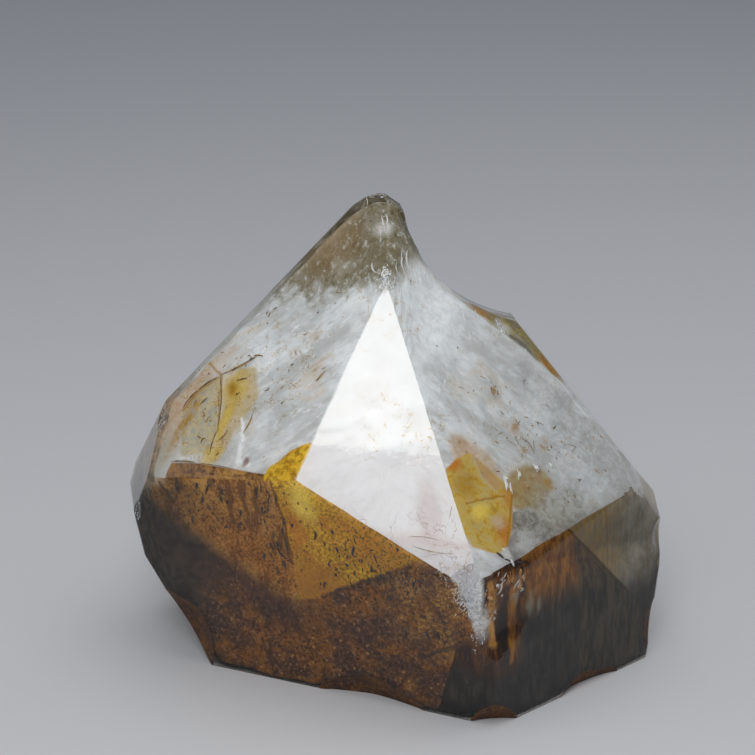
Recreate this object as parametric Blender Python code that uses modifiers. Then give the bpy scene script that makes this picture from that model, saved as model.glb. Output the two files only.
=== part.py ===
"""A stout natural quartz point: one closed solid, cut flat at its base.

The crystal is a block trimmed by its own faces. Each face is given the way a crystallographer
gives it: the compass direction that it looks in, how steeply it stands, and how far it lies
from the heart of the crystal. Its arrises are worn, and fractures have taken scoops out of it.

Metres, +Z up. The front looks along -Y, and the middle of the flat base is the origin.
"""
from math import cos, pi, radians, sin

import bmesh
import bpy
from mathutils import Matrix, Vector, noise

MM = 0.001

# ---------------------------------------------------------------- driving dimensions
HEART_HEIGHT = 65 * MM      # the point that every face is measured from, above the base
BLANK = 300 * MM            # edge of the block that the faces are cut from

# Faces: azimuth from the front (positive to the right), slope from level, distance from
# the heart in millimetres. A slope over 90 degrees leans in towards the base.
POINT_FACES = {
    "window": (-4.0, 58.5, 31.0),
    "point_left": (-32.0, 52.5, 35.0),
    "point_right": (32.5, 53.8, 32.0),
    "point_far_right": (100.0, 52.0, 46.6),
    "point_back_right": (157.0, 54.0, 48.0),
    "point_back_left": (-152.0, 53.0, 52.0),
    "point_far_left": (-118.0, 53.1, 51.4),
}
PRISM_FACES = {
    "prism_left": (-24.0, 96.0, 42.5),
    "prism_right": (42.0, 88.0, 54.5),
    "prism_far_right": (98.0, 90.0, 74.0),
    "prism_back_right": (158.0, 90.0, 58.0),
    "prism_back_left": (-146.0, 91.0, 62.0),
    "prism_far_left": (-88.0, 89.0, 77.0),
}
SMALL_FACES = {
    "bevel_left": (-83.0, 71.5, 64.3),
    "bevel_right": (80.0, 63.6, 56.9),
    "taper_left_high": (-80.0, 101.0, 76.6),
    "taper_left_low": (-80.0, 118.0, 78.6),
    "taper_right": (90.0, 96.5, 79.4),
    "worn_tip": (-60.0, 12.0, 64.6),
    "worn_shoulder": (80.0, 38.0, 49.6),
}

# Wear on the arrises.
WEAR_WIDTH = 0.7 * MM
WEAR_STEPS = 2
WEAR_FROM_ANGLE = 12.0      # degrees: flatter joints than this stay as they are

# The great shell-shaped fracture between the tip and the side bud.
NOTCH_CENTRE = (39.0, 25.0, 131.0)
NOTCH_RADIUS = 38.5
NOTCH_LENGTH = 75.0         # half its length, front to back
NOTCH_TILT = 15.0           # degrees that its front end is raised
NOTCH_RIPPLE = 0.35         # height of the shell ripples
NOTCH_RIPPLE_LENGTH = 9.0

# Chips: where each one struck, the way it faces (azimuth, slope), the radius of its
# curve and its depth, in millimetres.
CHIPS = {
    "side_bud": ((33.0, 3.5, 97.0), (54.0, 41.0), 60.0, 1.2),
    "chip_window_foot": ((20.4, -51.2, 39.2), (8.0, 77.0), 32.0, 1.9),
    "chip_prism_corner": ((28.0, -49.6, 32.0), (38.0, 88.0), 24.0, 2.8),
    "chip_window_top": ((-2.7, -6.5, 113.0), (-4.0, 53.0), 9.0, 0.9),
    "chip_left_bevel": ((-66.8, -3.0, 70.0), (-70.0, 55.0), 9.0, 1.2),
    "chip_left_corner": ((-73.6, -11.5, 47.0), (-60.0, 85.0), 9.0, 1.4),
    "chip_right_flank": ((74.8, -7.5, 37.0), (70.0, 88.0), 13.0, 1.2),
    "chip_right_low": ((74.0, -8.0, 12.0), (70.0, 96.0), 20.0, 1.4),
    "break_low_left": ((-57.0, -15.6, 14.0), (-52.0, 112.0), 26.0, 2.2),
    "break_foot": ((-8.0, -36.0, 1.0), (-22.0, 118.0), 44.0, 3.0),
    "break_foot_corner": ((27.0, -50.6, 1.0), (8.0, 122.0), 30.0, 3.2),
    "chip_base_side": ((54.0, -28.0, 1.0), (44.0, 120.0), 34.0, 2.2),
    "chip_base_right": ((71.0, 20.0, 1.0), (100.0, 120.0), 28.0, 2.4),
    "chip_base_back": ((-14.0, 65.0, 2.0), (-175.0, 112.0), 30.0, 3.4),
    "chip_back_ridge": ((-7.3, 40.3, 99.7), (-178.0, 50.0), 24.0, 2.4),
    "chip_back_shoulder": ((-76.0, 22.0, 42.0), (-120.0, 82.0), 20.0, 2.4),
    "chip_far_edge": ((69.6, 34.0, 40.0), (125.0, 78.0), 22.0, 2.2),
}
CHIP_DETAIL = 5             # subdivisions of the ball that cuts a chip
NOTCH_DETAIL = 5
BREAK_HEIGHT = 0.7          # unevenness of a fracture, in millimetres
BREAK_LENGTH = 9.0          # and how far apart its swells lie

# Finish.
QUARTZ_COLOUR = (0.80, 0.74, 0.64, 1.0)
QUARTZ_ROUGHNESS = 0.12
QUARTZ_IOR = 1.544


def clear_scene():
    """Remove whatever the open file holds."""
    for obj in list(bpy.data.objects):
        bpy.data.objects.remove(obj, do_unlink=True)


def new_collection(name):
    """A collection of this name, linked to the scene."""
    collection = bpy.data.collections.new(name)
    bpy.context.scene.collection.children.link(collection)
    return collection


def facing(azimuth, slope):
    """Unit vector out of a face with this azimuth and slope in degrees."""
    turn, lean = radians(azimuth), radians(slope)
    return Vector((sin(lean) * sin(turn), -sin(lean) * cos(turn), cos(lean)))


def cut_face(bm, point, direction):
    """Trim the solid by a plane and close the cut with one new face."""
    geometry = bm.verts[:] + bm.edges[:] + bm.faces[:]
    cut = bmesh.ops.bisect_plane(
        bm, geom=geometry, dist=1e-7, plane_co=point, plane_no=direction, clear_outer=True)
    rim = [item for item in cut["geom_cut"] if isinstance(item, bmesh.types.BMEdge)]
    if rim:
        bmesh.ops.contextual_create(bm, geom=rim)


def crystal_blank():
    """The faceted crystal: a block trimmed by every face and by the flat base."""
    heart = Vector((0.0, 0.0, HEART_HEIGHT))
    bm = bmesh.new()
    bmesh.ops.create_cube(bm, size=BLANK)
    cut_face(bm, Vector((0.0, 0.0, 0.0)), Vector((0.0, 0.0, -1.0)))
    for faces in (PRISM_FACES, POINT_FACES, SMALL_FACES):
        for azimuth, slope, distance in faces.values():
            direction = facing(azimuth, slope)
            cut_face(bm, heart + direction * distance * MM, direction)
    bmesh.ops.recalc_face_normals(bm, faces=bm.faces[:])
    mesh = bpy.data.meshes.new("quartz_crystal")
    bm.to_mesh(mesh)
    bm.free()
    return bpy.data.objects.new("quartz_crystal", mesh)


def add_wear(crystal):
    """Round the arrises as handling has."""
    wear = crystal.modifiers.new("wear", "BEVEL")
    wear.width = WEAR_WIDTH
    wear.segments = WEAR_STEPS
    wear.limit_method = "ANGLE"
    wear.angle_limit = radians(WEAR_FROM_ANGLE)


def ball(name, detail, collection):
    """A unit ball for cutting, kept out of the render."""
    mesh = bpy.data.meshes.new(name)
    bm = bmesh.new()
    bmesh.ops.create_icosphere(bm, subdivisions=detail, radius=1.0)
    bm.to_mesh(mesh)
    bm.free()
    cutter = bpy.data.objects.new(name, mesh)
    cutter.hide_render = True
    cutter.display_type = "WIRE"
    collection.objects.link(cutter)
    return cutter


def ripple(distance):
    """Height of a shell ripple at this distance from where the blow fell."""
    return NOTCH_RIPPLE * sin(2.0 * pi * distance / NOTCH_RIPPLE_LENGTH)


def notch_cutter(collection):
    """A long ball with ripples that spread from its front end, as in a shell fracture."""
    cutter = ball("notch_cutter", NOTCH_DETAIL, collection)
    for vertex in cutter.data.vertices:
        along = (vertex.co.y + 1.0) * NOTCH_LENGTH
        grown = 1.0 + ripple(along) / NOTCH_RADIUS
        vertex.co.x *= grown
        vertex.co.z *= grown
    size = Matrix.Diagonal((NOTCH_RADIUS * MM, NOTCH_LENGTH * MM, NOTCH_RADIUS * MM, 1.0))
    turn = Matrix.Rotation(radians(-NOTCH_TILT), 4, "X")
    place = Matrix.Translation(Vector(NOTCH_CENTRE) * MM)
    cutter.data.transform(place @ turn @ size)
    return cutter


def chip_cutter(name, chip, collection):
    """An uneven ball sunk to the chip's depth below the point that was struck."""
    struck, (azimuth, slope), radius, depth = chip
    cutter = ball(name, CHIP_DETAIL, collection)
    for vertex in cutter.data.vertices:
        swell = noise.noise((vertex.co * radius + Vector(struck)) / BREAK_LENGTH)
        vertex.co *= 1.0 + swell * BREAK_HEIGHT / radius
    centre = Vector(struck) * MM + facing(azimuth, slope) * (radius - depth) * MM
    cutter.data.transform(Matrix.Translation(centre) @ Matrix.Scale(radius * MM, 4))
    return cutter


def scoop(crystal, cutter):
    """Take one fracture out of the crystal."""
    cut = crystal.modifiers.new(cutter.name, "BOOLEAN")
    cut.operation = "DIFFERENCE"
    cut.solver = "EXACT"
    cut.object = cutter


def quartz_material():
    """Clear to milky quartz."""
    material = bpy.data.materials.new("quartz_crystal")
    material.use_nodes = True
    surface = material.node_tree.nodes["Principled BSDF"]
    surface.inputs["Base Color"].default_value = QUARTZ_COLOUR
    surface.inputs["Roughness"].default_value = QUARTZ_ROUGHNESS
    surface.inputs["Metallic"].default_value = 0.0
    surface.inputs["IOR"].default_value = QUARTZ_IOR
    surface.inputs["Transmission Weight"].default_value = 1.0
    return material


def build():
    """The whole specimen."""
    clear_scene()
    specimen = new_collection("quartz_crystal")
    cutters = new_collection("cutters")
    crystal = crystal_blank()
    specimen.objects.link(crystal)
    crystal.data.materials.append(quartz_material())
    add_wear(crystal)
    scoop(crystal, notch_cutter(cutters))
    for name, chip in CHIPS.items():
        scoop(crystal, chip_cutter(name, chip, cutters))


build()
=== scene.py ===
"""Looks of a stout quartz point: a clear smoky skin of glass over a milky heart.

The skin follows the solid, with raw stone on the broken places round its base. Beneath it
lies the heart, a milky body that keeps the crystal's own faces and fractures but draws back
from two clear pockets on the left and from the clear lower corner. Iron has stained it gold,
tan and rust. Slivers of bright cracked quartz, healed cracks and dark flecks lie between
the two; the white of the cracked quartz and the healed cracks is partly painted sparkle.

Lengths are in millimetres unless a comment says metres. Faces are measured from the heart's
centre, and places in the stone from the middle of the flat base.
"""
from math import cos, pi, radians, sin, sqrt

import bmesh
import bpy
import numpy as np
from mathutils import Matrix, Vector


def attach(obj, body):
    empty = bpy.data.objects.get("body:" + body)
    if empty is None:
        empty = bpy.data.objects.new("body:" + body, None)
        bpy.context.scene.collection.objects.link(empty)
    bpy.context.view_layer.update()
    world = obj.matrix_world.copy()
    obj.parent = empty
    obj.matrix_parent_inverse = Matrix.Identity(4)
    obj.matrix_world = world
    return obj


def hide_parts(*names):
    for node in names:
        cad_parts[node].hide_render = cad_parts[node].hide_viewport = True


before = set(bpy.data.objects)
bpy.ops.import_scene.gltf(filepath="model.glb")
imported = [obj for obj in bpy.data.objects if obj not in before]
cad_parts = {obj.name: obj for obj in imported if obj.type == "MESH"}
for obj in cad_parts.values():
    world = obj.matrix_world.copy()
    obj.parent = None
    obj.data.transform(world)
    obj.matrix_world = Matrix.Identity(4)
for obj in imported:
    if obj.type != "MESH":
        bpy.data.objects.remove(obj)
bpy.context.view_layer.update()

MM = 0.001

# ---------------------------------------------------------------- the crystal's own faces
CENTRE = np.array((0.0, 0.0, 65.0))     # every face is measured from here

# Face: azimuth from the front, slope from level, distance from the centre, and how deep
# the milky heart lies beneath it.
FACES = {
    "window": (-4.0, 58.5, 31.0, 1.3),
    "point_left": (-32.0, 52.5, 35.0, 1.4),
    "point_right": (32.5, 53.8, 32.0, 1.4),
    "point_far_right": (100.0, 52.0, 46.6, 1.3),
    "point_back_right": (157.0, 54.0, 48.0, 1.5),
    "point_back_left": (-152.0, 53.0, 52.0, 1.5),
    "point_far_left": (-118.0, 53.1, 51.4, 1.3),
    "prism_left": (-24.0, 96.0, 42.5, 1.3),
    "prism_right": (42.0, 88.0, 54.5, 1.2),
    "prism_far_right": (98.0, 90.0, 74.0, 1.4),
    "prism_back_right": (158.0, 90.0, 58.0, 1.5),
    "prism_back_left": (-146.0, 91.0, 62.0, 1.5),
    "prism_far_left": (-88.0, 89.0, 77.0, 1.4),
    "bevel_left": (-83.0, 71.5, 64.3, 1.3),
    "bevel_right": (80.0, 63.6, 56.9, 1.3),
    "taper_left_high": (-80.0, 101.0, 76.6, 1.3),
    "taper_left_low": (-80.0, 118.0, 78.6, 1.3),
    "taper_right": (90.0, 96.5, 79.4, 1.3),
    "worn_tip": (-60.0, 12.0, 64.6, 1.3),
    "worn_shoulder": (80.0, 38.0, 49.6, 1.2),
    "base": (0.0, 180.0, 65.0, 0.4),
    # The milk also ends at a plane inside the lower right corner.
    "clear_corner": (43.0, 106.0, 56.0, 0.0),
}
# The heart's finishes, and the faces that each lies beneath. The rest is its flank.
FINISH_OF = {"window": "window", "point_left": "left", "worn_tip": "left",
             "point_right": "right", "worn_shoulder": "right", "prism_left": "front",
             "prism_right": "corner", "clear_corner": "corner"}
FINISHES = ("window", "left", "right", "front", "corner", "flank")

NOTCH_CENTRE = np.array((39.0, 25.0, 131.0))
NOTCH_RADIUS = 38.5
NOTCH_LENGTH = 75.0
NOTCH_TILT = radians(15.0)
NOTCH_CLEARANCE = 1.3

# Clear pockets: where, how wide, and how far the milk draws back from the skin.
POCKETS = {
    "left_rim": ((-72.0, -12.0, 36.0), 20.0, 3.0),
    "left_band": ((-52.0, -16.0, 34.0), 15.0, 1.5),
}

# Fractures: where each was struck, the way it faces, the radius of its curve, its depth.
FRACTURES = {
    "side_bud": ((33.0, 3.5, 97.0), (54.0, 41.0), 60.0, 1.2),
    "window_foot": ((20.4, -51.2, 39.2), (8.0, 77.0), 32.0, 1.9),
    "prism_corner": ((28.0, -49.6, 32.0), (38.0, 88.0), 24.0, 2.8),
    "window_top": ((-2.7, -6.5, 113.0), (-4.0, 53.0), 9.0, 0.9),
    "left_bevel": ((-66.8, -3.0, 70.0), (-70.0, 55.0), 9.0, 1.2),
    "left_corner": ((-73.6, -11.5, 47.0), (-60.0, 85.0), 9.0, 1.4),
    "right_flank": ((74.8, -7.5, 37.0), (70.0, 88.0), 13.0, 1.2),
    "right_low": ((74.0, -8.0, 12.0), (70.0, 96.0), 20.0, 1.4),
    "low_left": ((-57.0, -15.6, 14.0), (-52.0, 112.0), 26.0, 2.2),
    "foot": ((-8.0, -36.0, 1.0), (-22.0, 118.0), 44.0, 3.0),
    "foot_corner": ((27.0, -50.6, 1.0), (8.0, 122.0), 30.0, 3.2),
    "base_side": ((54.0, -28.0, 1.0), (44.0, 120.0), 34.0, 2.2),
    "base_right": ((71.0, 20.0, 1.0), (100.0, 120.0), 28.0, 2.4),
    "base_back": ((-14.0, 65.0, 2.0), (-175.0, 112.0), 30.0, 3.4),
    "back_ridge": ((-7.3, 40.3, 99.7), (-178.0, 50.0), 24.0, 2.4),
    "back_shoulder": ((-76.0, 22.0, 42.0), (-120.0, 82.0), 20.0, 2.4),
    "far_edge": ((69.6, 34.0, 40.0), (125.0, 78.0), 22.0, 2.2),
}
FRACTURE_CLEARANCE = 0.9        # how far the milk keeps beneath a fracture
# The fractures where raw stone shows.
BARE = ("low_left", "foot", "foot_corner", "base_side", "base_right", "base_back", "right_low")


def facing(azimuth, slope):
    """Unit vector out of a face with this azimuth and slope in degrees."""
    turn, lean = radians(azimuth), radians(slope)
    return np.array((sin(lean) * sin(turn), -sin(lean) * cos(turn), cos(lean)))


def across(azimuth):
    """Unit vector that runs level along a face, to the right of someone who looks at it."""
    return np.array((cos(radians(azimuth)), sin(radians(azimuth)), 0.0))


def face_axes(azimuth, slope):
    """A face's own axes: level along it, up its slope, and out of it."""
    out, level = facing(azimuth, slope), across(azimuth)
    return level, np.cross(out, level), out


def on_face(name, side, rise, depth=0.0):
    """Point that lies `side` across a face and `rise` up its slope from the face's middle."""
    azimuth, slope, distance, _ = FACES[name]
    level, slope_up, out = face_axes(azimuth, slope)
    return CENTRE + out * (distance - depth) + level * side + slope_up * rise


# ---------------------------------------------------------------- node recipes
# Which inputs and which output of a Mix node carry this kind of value.
MIX_SOCKETS = {"RGBA": (6, 7, 2), "VECTOR": (4, 5, 1)}


class Recipe:
    """Short calls that add the nodes of one node tree and link them."""

    def __init__(self, tree):
        self.tree = tree

    def add(self, kind, **settings):
        """A new node with these settings."""
        node = self.tree.nodes.new("ShaderNode" + kind)
        for name, value in settings.items():
            setattr(node, name, value)
        return node

    def feed(self, socket, value):
        """Link an output to an input, or set the input's value."""
        if isinstance(value, bpy.types.NodeSocket):
            self.tree.links.new(value, socket)
        elif socket.type == "RGBA" and len(value) == 3:
            socket.default_value = (*value, 1.0)
        else:
            socket.default_value = value

    def maths(self, operation, *values, clamp=False):
        """The result of a Math node."""
        node = self.add("Math", operation=operation, use_clamp=clamp)
        for socket, value in zip(node.inputs, values):
            self.feed(socket, value)
        return node.outputs[0]

    def vector(self, operation, *values, number=False):
        """The vector, or the number, that a Vector Math node gives."""
        node = self.add("VectorMath", operation=operation)
        sockets = list(node.inputs)
        if operation == "SCALE":
            sockets = [node.inputs[0], node.inputs["Scale"]]
        for socket, value in zip(sockets, values):
            self.feed(socket, value)
        return node.outputs["Value" if number else "Vector"]

    def ease(self, value, low, high):
        """Value eased from 0 at low to 1 at high."""
        node = self.add("MapRange", interpolation_type="SMOOTHSTEP")
        for socket, item in zip(node.inputs, (value, low, high, 0.0, 1.0)):
            self.feed(socket, item)
        return node.outputs[0]

    def tint(self, share, under, over, kind="RGBA"):
        """One colour, or one vector, laid over another."""
        first, second, result = MIX_SOCKETS[kind]
        node = self.add("Mix", data_type=kind)
        for socket, value in (("Factor", share), (first, under), (second, over)):
            self.feed(node.inputs[socket], value)
        return node.outputs[result]

    def noise(self, place, scale, detail=2.0, roughness=0.5, distortion=0.0, colour=False):
        """The value, or the colour, of a noise at a place."""
        node = self.add("TexNoise")
        self.feed(node.inputs["Vector"], place)
        for name, value in (("Scale", scale), ("Detail", detail),
                            ("Roughness", roughness), ("Distortion", distortion)):
            self.feed(node.inputs[name], value)
        return node.outputs["Color" if colour else "Fac"]

    def place(self):
        """Object coordinates in millimetres."""
        return self.vector("SCALE", self.add("TexCoord").outputs["Object"], 1.0 / MM)

    def dot(self, first, second):
        """The dot product of two vectors."""
        return self.vector("DOT_PRODUCT", first, second, number=True)

    def part(self, place, axis):
        """One coordinate of a place: X, Y or Z."""
        apart = self.add("SeparateXYZ")
        self.feed(apart.inputs[0], place)
        return apart.outputs[axis]

    def stretched(self, place, *factors):
        """A place with its coordinates scaled."""
        return self.vector("MULTIPLY", place, factors)

    def fill(self, node, **values):
        """Set inputs of a node by name; an underscore stands for a space."""
        for name, value in values.items():
            self.feed(node.inputs[name.replace("_", " ")], value)
        return node

    def bump(self, height, strength, distance):
        """The normal of a surface with this height, its distance in metres."""
        return self.fill(self.add("Bump"), Strength=strength, Distance=distance,
                         Height=height).outputs[0]

    def use(self, name, **values):
        """A shared effect's output."""
        return self.fill(self.add("Group", node_tree=EFFECTS[name]), **values).outputs[0]


EFFECTS = {}


def effect(name, given, **taken):
    """Make a shared effect: a node group with these inputs, whose one output is what its
    recipe returns."""
    def build(recipe):
        group = bpy.data.node_groups.new(name, "ShaderNodeTree")
        for way, label, kind in (*(("INPUT", *item) for item in taken.items()),
                                 ("OUTPUT", *given)):
            group.interface.new_socket(label, in_out=way, socket_type="NodeSocket" + kind)
        inputs = group.nodes.new("NodeGroupInput").outputs
        output = group.nodes.new("NodeGroupOutput").inputs[0]
        make = Recipe(group)
        make.feed(output, recipe(make, inputs))
        EFFECTS[name] = group
        return recipe
    return build


@effect("Face Place", ("Spot", "Vector"),
        Place="Vector", Middle="Vector", Out="Vector", Across="Vector")
def face_place(make, taken):
    """Place on a face: how far across it and how far up its slope."""
    offset = make.vector("SUBTRACT", taken["Place"], taken["Middle"])
    up = make.vector("CROSS_PRODUCT", taken["Out"], taken["Across"])
    found = make.add("CombineXYZ")
    make.feed(found.inputs["X"], make.dot(offset, taken["Across"]))
    make.feed(found.inputs["Y"], make.dot(offset, up))
    return found.outputs[0]


@effect("Soft Spot", ("Mask", "Float"),
        Spot="Vector", Centre="Vector", Size="Vector", Turn="Float", Rim="Float")
def soft_spot(make, taken):
    """An oval spot with a soft rim: 1 inside, 0 outside."""
    turned = make.add("VectorRotate", rotation_type="Z_AXIS")
    make.feed(turned.inputs["Vector"], make.vector("SUBTRACT", taken["Spot"], taken["Centre"]))
    make.feed(turned.inputs["Angle"], make.maths("MULTIPLY", taken["Turn"], -pi / 180.0))
    reach = make.vector("LENGTH", make.vector("DIVIDE", turned.outputs[0], taken["Size"]),
                        number=True)
    outer = make.maths("ADD", 1.0, taken["Rim"])
    return make.ease(reach, outer, make.maths("SUBTRACT", 1.0, taken["Rim"]))


@effect("Fine Line", ("Mask", "Float"), Spot="Vector", From="Vector", To="Vector", Width="Float")
def fine_line(make, taken):
    """A line from one spot to another: 1 along it, fading to 0 at its width."""
    run = make.vector("SUBTRACT", taken["To"], taken["From"])
    offset = make.vector("SUBTRACT", taken["Spot"], taken["From"])
    share = make.maths("DIVIDE", make.dot(offset, run), make.dot(run, run), clamp=True)
    nearest = make.vector("SCALE", run, share)
    away = make.vector("DISTANCE", offset, nearest, number=True)
    return make.ease(away, taken["Width"], 0.0)


@effect("Cut", ("Mask", "Float"), Spot="Vector", From="Vector", To="Vector", Blur="Float")
def straight_cut(make, taken):
    """One side of a straight cut: 1 to the left of someone who walks from From to To."""
    run = make.vector("NORMALIZE", make.vector("SUBTRACT", taken["To"], taken["From"]))
    left = make.vector("CROSS_PRODUCT", (0.0, 0.0, 1.0), run)
    side = make.dot(make.vector("SUBTRACT", taken["Spot"], taken["From"]), left)
    return make.ease(make.maths("DIVIDE", side, taken["Blur"]), -1.0, 1.0)


@effect("Stir", ("Place", "Vector"), Place="Vector", Length="Float", Amount="Float")
def stir(make, taken):
    """A place pushed about by noise, so that what is drawn on it has a natural outline."""
    scale = make.maths("DIVIDE", 1.0, taken["Length"])
    drift = make.noise(taken["Place"], scale, 3.0, 0.55, colour=True)
    push = make.vector("SCALE", make.vector("SUBTRACT", drift, (0.5, 0.5, 0.5)), taken["Amount"])
    return make.vector("ADD", taken["Place"], push)


@effect("Veins", ("Mask", "Float"), Place="Vector", Length="Float", Width="Float")
def fine_veins(make, taken):
    """Fine crooked veins, where a noise crosses its middle value."""
    cloud = make.noise(taken["Place"], make.maths("DIVIDE", 1.0, taken["Length"]), 4.0, 0.6)
    away = make.maths("ABSOLUTE", make.maths("SUBTRACT", cloud, 0.5))
    return make.ease(away, taken["Width"], 0.0)


@effect("Grains", ("Mask", "Float"),
        Place="Vector", Spacing="Float", Size="Float", Share="Float")
def scattered_grains(make, taken):
    """Scattered grains: `Share` of the cells of a Voronoi pattern hold one."""
    cells = make.add("TexVoronoi")
    make.feed(cells.inputs["Vector"], taken["Place"])
    make.feed(cells.inputs["Scale"], make.maths("DIVIDE", 1.0, taken["Spacing"]))
    grain = make.ease(cells.outputs["Distance"], taken["Size"],
                      make.maths("MULTIPLY", taken["Size"], 0.4))
    chance = make.add("SeparateColor")
    make.feed(chance.inputs[0], cells.outputs["Color"])
    held = make.maths("LESS_THAN", chance.outputs[0], taken["Share"])
    return make.maths("MULTIPLY", grain, held)


def all_of(make, *masks):
    """Where every one of these masks holds."""
    result = masks[0]
    for mask in masks[1:]:
        result = make.maths("MULTIPLY", result, mask)
    return result


def any_of(make, *masks):
    """Where at least one of these masks holds."""
    result = masks[0]
    for mask in masks[1:]:
        result = make.maths("MAXIMUM", result, mask)
    return result


def ball(make, place, centre, radius, rim=0.5):
    """A soft ball in the stone."""
    return make.use("Soft Spot", Spot=place, Centre=centre, Size=(radius,) * 3, Turn=0.0,
                    Rim=rim)


def veins(make, place, length, width):
    """Fine crooked veins through the stone."""
    return make.use("Veins", Place=place, Length=length, Width=width)


def grains(make, place, spacing, size, share):
    """Grains scattered through the stone."""
    return make.use("Grains", Place=place, Spacing=spacing, Size=size, Share=share)


class Sheet:
    """A face seen square on, with masks drawn on it in millimetres from its middle."""

    def __init__(self, make, place, name, depth=1.8):
        azimuth, slope, _, _ = FACES[name]
        self.make = make
        self.at = make.use("Face Place", Place=place, Middle=tuple(on_face(name, 0, 0, depth)),
                           Out=tuple(facing(azimuth, slope)), Across=tuple(across(azimuth)))

    def spot(self, centre, size, turn=0, rim=0.4):
        """A soft oval spot, from its middle and half sizes."""
        return self.make.use("Soft Spot", Spot=self.at, Centre=(*centre, 0), Size=(*size, 1),
                             Turn=turn, Rim=rim)

    def line(self, start, end, width):
        """A fine line."""
        return self.make.use("Fine Line", Spot=self.at, From=(*start, 0), To=(*end, 0),
                             Width=width)

    def cut(self, start, end, blur):
        """The left side of a straight cut."""
        return self.make.use("Cut", Spot=self.at, From=(*start, 0), To=(*end, 0), Blur=blur)

    def spots(self, *rows):
        """Any of several spots. Each row: middle, half sizes, turn, rim."""
        return any_of(self.make, *(self.spot(*row) for row in rows))

    def lines(self, *rows):
        """Any of several lines. Each row: start, end, width."""
        return any_of(self.make, *(self.line(*row) for row in rows))

    def inside(self, blur, *corners):
        """Inside of a convex outline, its corners given anticlockwise."""
        sides = zip(corners, corners[1:] + corners[:1])
        return all_of(self.make, *(self.cut(*ends, blur) for ends in sides))

    def part(self, axis):
        """How far across the face a spot lies, or how far up it."""
        return self.make.part(self.at, axis)


# ---------------------------------------------------------------- shapes
SWELL_WAVES = 14
SWELL_SPREAD = (0.7, 1.4)       # shares of the length that single waves have


def swells(points, length, seed):
    """Smooth unevenness at each point: the sum of sine waves that run in random directions,
    each about `length` from crest to crest, scaled to stay near plus or minus one."""
    rng = np.random.default_rng(seed)
    run = rng.normal(size=(3, SWELL_WAVES))
    crest = length * rng.uniform(*SWELL_SPREAD, SWELL_WAVES)
    run *= 2.0 * pi / (crest * np.linalg.norm(run, axis=0))
    shift = rng.uniform(0.0, 2.0 * pi, SWELL_WAVES)
    return np.sin(points @ run + shift).sum(axis=-1) / sqrt(SWELL_WAVES)


HEART_COLUMNS = 400
HEART_ROWS = 200
HEART_ROUNDNESS = 60.0          # higher keeps the heart's arrises sharper
HEART_SUNK = 0.35               # everywhere, besides what each face asks for
HEART_SWELLS = ((0.35, 11.0, 3), (0.12, 4.0, 4))    # height, length and seed of each
CORNER_FILL = 28.0              # how much further the milk reaches at the foot of the corner
CORNER_FROM = -0.42             # the upward part of a direction at which that starts
CORNER_OVER = 0.26              # and how much lower it is complete
FAR = 1e4                       # for a ray that meets nothing
GRAZING = 1e-3                  # the least cosine that a face is divided by
CUT_WITHIN = 1e-8               # metres


def round_grid(columns, rows):
    """Directions on a grid of longitudes and latitudes, from just above the lower pole to
    just below the upper one: (cos v cos u, cos v sin u, sin v)."""
    turn = np.arange(columns) * 2.0 * pi / columns
    lift = -pi / 2.0 + np.arange(1, rows) * pi / rows
    v, u = np.meshgrid(lift, turn, indexing="ij")
    return np.stack((np.cos(v) * np.cos(u), np.cos(v) * np.sin(u), np.sin(v)), axis=-1)


def notch_frame(clearance):
    """The matrix that turns and scales the long ball, grown by a clearance, to a unit sphere."""
    c, s = cos(NOTCH_TILT), sin(NOTCH_TILT)
    size = np.array((NOTCH_RADIUS, NOTCH_LENGTH, NOTCH_RADIUS)) + clearance
    turn = np.array(((1.0, 0.0, 0.0), (0.0, c, s), (0.0, -s, c)))
    return turn / size


def fracture_middle(fracture):
    """The middle of the ball that took this fracture."""
    struck, (azimuth, slope), radius, depth = fracture
    return np.array(struck) + facing(azimuth, slope) * (radius - depth)


def ball_reach(direction, middle, to_unit):
    """How far a ray from the centre goes before it meets a ball: the nearer root of
    |o + r d| = 1, after the matrix has scaled the ball to a unit sphere."""
    start = (CENTRE - middle) @ to_unit
    run = direction @ to_unit
    a = (run * run).sum(axis=-1)
    b = run @ start
    under = b * b - a * (start @ start - 1.0)
    meets = (under > 0.0) & (b < 0.0)
    return np.where(meets, (-b - np.sqrt(np.maximum(under, 0.0))) / a, FAR)


def heart_reach(direction):
    """How far the heart reaches along each direction. For one plane that is its distance
    over the cosine between its facing and the direction, and for the notch and each fracture
    it is the way to a ball. All of them are joined by a sum of high powers, which rounds the
    arrises a little. Towards the base the milk fills the clear corner again."""
    reach = [ball_reach(direction, NOTCH_CENTRE, notch_frame(NOTCH_CLEARANCE))]
    for fracture in FRACTURES.values():
        to_unit = np.eye(3) / (fracture[2] + FRACTURE_CLEARANCE)
        reach.append(ball_reach(direction, fracture_middle(fracture), to_unit))
    for name, (azimuth, slope, distance, sunk) in FACES.items():
        cosine = np.maximum(direction @ facing(azimuth, slope), GRAZING)
        lower = CORNER_FILL * np.clip((CORNER_FROM - direction[..., 2]) / CORNER_OVER, 0.0, 1.0)
        extra = lower if name == "clear_corner" else 0.0
        reach.append((distance - sunk + extra) / cosine)
    return (np.array(reach) ** -HEART_ROUNDNESS).sum(axis=0) ** (-1.0 / HEART_ROUNDNESS)


def heart_points(direction):
    """The heart's surface: its reach, less each clear pocket (a bell of the distance to the
    pocket's middle), and less a little unevenness."""
    reach = heart_reach(direction)
    points = CENTRE + direction * reach[..., None]
    for middle, width, depth in POCKETS.values():
        away = np.linalg.norm(points - np.array(middle), axis=-1) / width
        reach = reach - depth * np.exp(-2.0 * away ** 4)
    sunk = HEART_SUNK
    for height, length, seed in HEART_SWELLS:
        sunk = sunk + height * swells(points, length, seed)
    reach -= sunk
    return CENTRE + direction * reach[..., None]


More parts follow.
